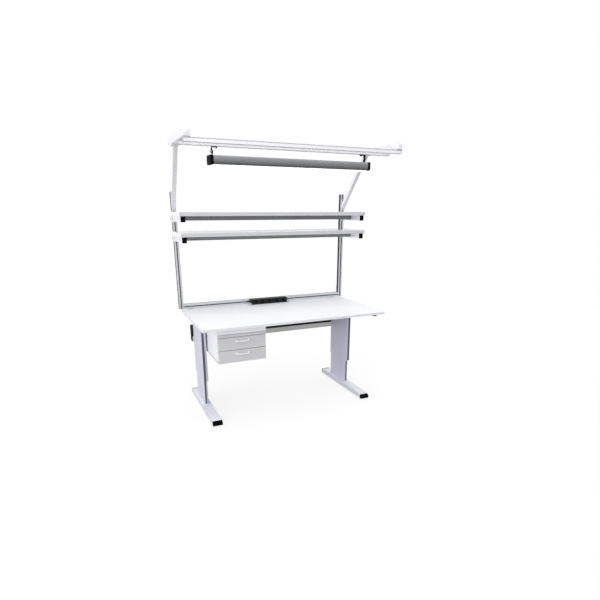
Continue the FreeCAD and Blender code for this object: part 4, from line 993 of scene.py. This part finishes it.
@dataclass
class TopFrame(SubAssembly):
    """The uprights, struts, cantilever arms and tool rails."""

    strut_plate: float = 5.5 * MM
    strut_bolt_drop: tuple[float, float] = (132 * MM, 48 * MM)
    carrier_bolt_rise: tuple[float, float] = (22 * MM, 72 * MM)

    def dress(self) -> None:
        """Put the finishes on the frame."""
        FINISHES.dress(UPRIGHT_METAL, ["uprights"])
        FINISHES.dress(CROSS_METAL, ["cross_rail"])
        FINISHES.dress(STRUT_PAINT, ["struts", "mounting_plates"])
        FINISHES.dress(ARM_METAL, ["cantilever_arms"])
        FINISHES.dress(RAIL_PAINT, ["tool_rails"])
        FINISHES.dress(GREY_PLASTIC, ["frame_end_caps"])
        FINISHES.dress(ZINC, ["frame_bolts"])

    def build(self) -> None:
        """Add washers under the heads of the bolts on the uprights."""
        low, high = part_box("uprights")
        bar = high.y - low.y
        washers = Fitting("frame_bolt_washers")
        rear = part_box("mounting_plates")[1].y
        for x in (low.x + bar / 2, high.x - bar / 2):
            for drop in self.strut_bolt_drop:
                spot = Vector((x, low.y - self.strut_plate, high.z - drop))
                washers.turned(WASHER, spot, Axis.BACK_Y, ring=True)
            for rise in self.carrier_bolt_rise:
                washers.turned(WASHER, Vector((x, rear, low.z + rise)), Axis.Y, ring=True)
        washers.place(Body.TABLE, ZINC, "zinc_steel")


@dataclass
class WorkLamp(SubAssembly):
    """The lamp with its hangers."""

    screw: float = 4.0 * MM
    screw_proud: float = 1.5 * MM
    screw_pitch: float = 60 * MM
    screw_steps: int = 24

    def dress(self) -> None:
        """Put the finishes on the lamp."""
        FINISHES.dress(LAMP_PAINT, ["lamp_body"])
        FINISHES.dress(BLACK_PLASTIC, ["lamp_end_caps"])
        FINISHES.dress(OPAL, ["lamp_diffuser"])
        FINISHES.dress(TRAY_PAINT, ["lamp_gear_tray"])
        FINISHES.dress(TUBE_GLASS, ["lamp_tube"])
        FINISHES.dress(BLACK_PLASTIC, ["lamp_hangers", "lamp_lugs"])

    def build(self) -> None:
        """Add the screws of the end caps."""
        low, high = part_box("lamp_end_caps")
        centre = middle("lamp_end_caps")
        screws = Fitting("lamp_cap_screws")
        head = [(radius * self.screw, rise * self.screw_proud) for radius, rise in SCREW_HEAD]
        for x, axis in ((low.x, Axis.BACK_X), (high.x, Axis.X)):
            for side in (-1, 1):
                spot = Vector((x, centre.y + side * self.screw_pitch / 2, centre.z))
                screws.turned(head, spot, axis, self.screw_steps)
        screws.place(Body.LAMP, BLACK_PLASTIC, "black_plastic")


@dataclass
class Shelf(SubAssembly):
    """A shelf with its brackets, caps and bolts."""

    name: str
    body: Body
    bolt_head: float = 5.5 * MM

    def dress(self) -> None:
        """Put the finishes on the shelf."""
        FINISHES.dress(SHELF_LAMINATE, [self.name + "_panel"])
        FINISHES.dress(ARM_METAL, [self.name + "_brackets"])
        FINISHES.dress(BLACK_PLASTIC, [self.name + "_caps"])
        FINISHES.dress(ZINC, [self.name + "_bolts"])
        FINISHES.dress(BAR_PAINT, [self.name + "_crossbar"])

    def build(self) -> None:
        """Add washers under the heads of the brackets' bolts."""
        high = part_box(self.name + "_bolts")[1]
        centre = middle(self.name + "_bolts")
        washers = Fitting(self.name + "_bolt_washers")
        face = high.x - self.bolt_head
        for x, axis in ((-face, Axis.BACK_X), (face, Axis.X)):
            washers.turned(WASHER, Vector((x, centre.y, centre.z)), axis, ring=True)
        washers.place(self.body, ZINC, "zinc_steel")


@dataclass
class DrawerUnit(SubAssembly):
    """The drawer unit under the table."""

    bar: float = 5.0 * MM
    foot: float = 8.0 * MM
    foot_thick: float = 2.0 * MM
    foot_rim: float = 1.2 * MM
    foot_bore: float = 4.5 * MM
    foot_neck: float = 5.5 * MM

    def dress(self) -> None:
        """Put the finishes on the casing and the drawers."""
        FINISHES.dress(CASING_PAINT, ["drawer_casing"])
        FINISHES.dress(ZINC, ["drawer_runners"])
        FINISHES.dress(DRAWER_PAINT, ["pencil_drawer"])
        for name in ("upper_drawer", "lower_drawer"):
            FINISHES.dress(DRAWER_PAINT, [name + "_front"])
            FINISHES.dress(TRAY_PAINT, [name + "_box"])
            FINISHES.dress(HANDLE_PAINT, [name + "_handle"])

    def build(self) -> None:
        """Add the round feet of the bow handles."""
        section = [
            (self.foot_bore, 0.0),
            (self.foot, 0.0),
            (self.foot, self.foot_rim),
            (self.foot_neck, self.foot_thick),
            (self.foot_bore, self.foot_thick),
        ]
        for body in (Body.UPPER_DRAWER, Body.LOWER_DRAWER):
            low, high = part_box(body.value + "_handle")
            feet = Fitting(body.value + "_handle_feet")
            for x in (low.x + self.bar, high.x - self.bar):
                spot = Vector((x, high.y, (low.z + high.z) / 2))
                feet.turned(section, spot, Axis.BACK_Y, ring=True)
            feet.place(body, HANDLE_PAINT, "white_paint")


@dataclass
class LiftSwitch(SubAssembly):
    """The marks on the lift's two buttons."""

    size: float = 2.2 * MM
    proud: float = 0.4 * MM

    def build(self) -> None:
        """Add a raised arrow to each button."""
        buttons = (("up_button", Body.UP_BUTTON, 1), ("down_button", Body.DOWN_BUTTON, -1))
        for node, body, way in buttons:
            low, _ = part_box(node)
            centre = middle(node)
            front = low.y - self.proud
            foot = centre.z - way * self.size
            mark = Fitting(node + "_arrow")
            tip = Vector((centre.x, front, centre.z + way * self.size))
            left = Vector((centre.x - self.size, front, foot))
            right = Vector((centre.x + self.size, front, foot))
            mark.wedge([tip, left, right], Vector((0, 2 * self.proud, 0)))
            mark.place(body, GREY_PLASTIC, "grey_plastic")


@dataclass(frozen=True)
class SoftBox:
    """A square soft light.

    Attributes:
        name: Name of the light.
        spot: Where it hangs.
        size: Side of its face.
        watts: Its power.
    """

    name: str
    spot: tuple[float, float, float]
    size: float
    watts: float

    def hang(self, aim: Vector) -> None:
        """Hang the light.

        Args:
            aim: Where it points.
        """
        data = bpy.data.lights.new(self.name, "AREA")
        data.size = self.size
        data.energy = self.watts
        light = bpy.data.objects.new(self.name, data)
        light.location = self.spot
        way = aim - Vector(self.spot)
        light.rotation_euler = way.to_track_quat("-Z", "Y").to_euler()
        bpy.context.scene.collection.objects.link(light)


@dataclass
class Studio(SubAssembly):
    """Floor, light and camera of the photograph.

    Attributes:
        picture: Side of the square picture in pixels.
        focal_px: Focal length in pixels.
        sensor_mm: Width of the camera's sensor.
        middle_row: Row of the picture that the camera's axis meets.
        position: Where the camera stands.
        yaw: How far it is turned to the right.
        pitch: How far it looks down.
        roll: How far it leans.
        far: Distance to which the camera sees.
        floor_size: Side of the floor.
        white: Colour of the background.
        floor_glow: Light that makes the seen floor pale.
        floor_colour: Colour that takes the bench's shadow.
        floor_bounce: Colour of the floor as the bench sees it.
        fade_start: Distance at which the floor starts to turn white.
        fade_end: Distance at which it is white.
        sky: Strength of the surround that lights the bench.
        aim: Where the lights point.
        lights: The soft boxes.
    """

    picture: float = 600.0
    focal_px: float = 458.42
    sensor_mm: float = 36.0
    middle_row: float = 360.0
    position: tuple[float, float, float] = (-1.3994, -3.4511, 1.595)
    yaw: float = 0.427
    pitch: float = 0.321
    roll: float = 0.003
    far: float = 100.0
    floor_size: float = 40.0
    white: str = "#FFFFFF"
    floor_glow: float = 0.8
    floor_colour: str = "#808080"
    floor_bounce: str = "#BCBCBC"
    fade_start: float = 1.6
    fade_end: float = 3.2
    sky: float = 0.76
    aim: tuple[float, float, float] = (0.0, 0.0, 1.0)
    lights: tuple[SoftBox, ...] = (
        SoftBox("side_soft_box", (-8.0, -3.7, 2.2), 5.0, 290.0),
        SoftBox("front_soft_box", (-1.6, -4.6, 2.6), 3.0, 38.0),
        SoftBox("top_soft_box", (0.0, -1.0, 6.0), 4.0, 78.0),
    )

    def camera(self) -> None:
        """Stand the camera where the photograph was taken."""
        data = bpy.data.cameras.new("camera")
        data.sensor_width = self.sensor_mm
        data.lens = self.focal_px / self.picture * self.sensor_mm
        data.shift_y = (self.middle_row - self.picture / 2) / self.picture
        data.clip_end = self.far
        camera = bpy.data.objects.new("camera", data)
        camera.matrix_world = (
            Matrix.Translation(self.position)
            @ Matrix.Rotation(-self.yaw, 4, "Z")
            @ Matrix.Rotation(math.pi / 2 - self.pitch, 4, "X")
            @ Matrix.Rotation(self.roll, 4, "Z")
        )
        bpy.context.scene.collection.objects.link(camera)
        bpy.context.scene.camera = camera

    def floor(self) -> None:
        """Lay a pale floor that keeps the bench's shadow."""
        half = self.floor_size / 2
        corners = [(-half, -half, 0), (half, -half, 0), (half, half, 0), (-half, half, 0)]
        data = bpy.data.meshes.new("floor")
        data.from_pydata(corners, [], [(0, 1, 2, 3)])
        floor = bpy.data.objects.new("floor", data)
        bpy.context.scene.collection.objects.link(floor)
        data.materials.append(self.floor_paint())

    def floor_paint(self) -> bpy.types.Material:
        """Make the floor's paint: pale where it is seen, plain where it lights the bench.

        Returns:
            The material.
        """
        material = bpy.data.materials.new("studio_floor_painted")
        material.use_nodes = True
        tree = material.node_tree
        tree.nodes.clear()
        white = linear(self.white)
        matt = add_node(
            tree, "ShaderNodeBsdfDiffuse", inputs={"Color": linear(self.floor_colour)}
        )
        plain = add_node(
            tree, "ShaderNodeBsdfDiffuse", inputs={"Color": linear(self.floor_bounce)}
        )
        glow = add_node(
            tree, "ShaderNodeEmission", inputs={"Color": white, "Strength": self.floor_glow}
        )
        lit = add_node(
            tree, "ShaderNodeAddShader", inputs={0: matt.outputs[0], 1: glow.outputs[0]}
        )
        place = add_node(tree, "ShaderNodeTexCoord").outputs["Object"]
        away = add_node(tree, "ShaderNodeVectorMath", {"operation": "LENGTH"}, {0: place})
        limits = {"From Min": self.fade_start, "From Max": self.fade_end}
        fade = add_node(
            tree, "ShaderNodeMapRange", inputs={"Value": away.outputs["Value"], **limits}
        )
        # A strength of one is white, here as in the surround
        distant = add_node(tree, "ShaderNodeEmission", inputs={"Color": white, "Strength": 1.0})
        seen = add_node(
            tree,
            "ShaderNodeMixShader",
            inputs={"Fac": fade.outputs["Result"], 1: lit.outputs[0], 2: distant.outputs[0]},
        )
        mixed = add_node(
            tree,
            "ShaderNodeMixShader",
            inputs={"Fac": self.looking(tree), 1: plain.outputs[0], 2: seen.outputs[0]},
        )
        add_node(tree, "ShaderNodeOutputMaterial", inputs={"Surface": mixed.outputs[0]})
        return material

    def looking(self, tree: bpy.types.NodeTree) -> bpy.types.NodeSocket:
        """Give a socket that is one for rays that look at the background.

        Args:
            tree: Node tree that takes the nodes.

        Returns:
            The socket.
        """
        path = add_node(tree, "ShaderNodeLightPath")
        total = path.outputs["Is Camera Ray"]
        for name in ("Is Glossy Ray", "Is Transmission Ray"):
            either = add_node(
                tree, "ShaderNodeMath", {"operation": "MAXIMUM"}, {0: total, 1: path.outputs[name]}
            )
            total = either.outputs[0]
        return total

    def surround(self) -> None:
        """Set a white surround that lights the bench softly."""
        world = bpy.data.worlds.new("studio")
        bpy.context.scene.world = world
        world.use_nodes = True
        tree = world.node_tree
        tree.nodes.clear()
        strength = add_node(
            tree,
            "ShaderNodeMapRange",
            inputs={"Value": self.looking(tree), "To Min": self.sky, "To Max": 1.0},
        )
        back = add_node(
            tree,
            "ShaderNodeBackground",
            inputs={"Color": linear(self.white), "Strength": strength.outputs["Result"]},
        )
        add_node(tree, "ShaderNodeOutputWorld", inputs={"Surface": back.outputs[0]})

    def build(self) -> None:
        """Set up the whole studio."""
        self.floor()
        self.surround()
        for light in self.lights:
            light.hang(Vector(self.aim))
        self.camera()
        bpy.context.scene.view_settings.view_transform = "Standard"


def main() -> None:
    """Dress and build the bench's sub-assemblies and the studio."""
    logging.basicConfig(level=logging.INFO)
    parts: list[SubAssembly] = [
        FeetAndLegs(),
        TableTop(),
        SocketStrip(),
        TopFrame(),
        WorkLamp(),
        Shelf("upper_shelf", Body.UPPER_SHELF),
        Shelf("lower_shelf", Body.LOWER_SHELF),
        DrawerUnit(),
        LiftSwitch(),
        Studio(),
    ]
    for part in parts:
        LOG.info("sub-assembly %s", type(part).__name__)
        part.dress()
        part.build()


if __name__ == "__main__":
    main()
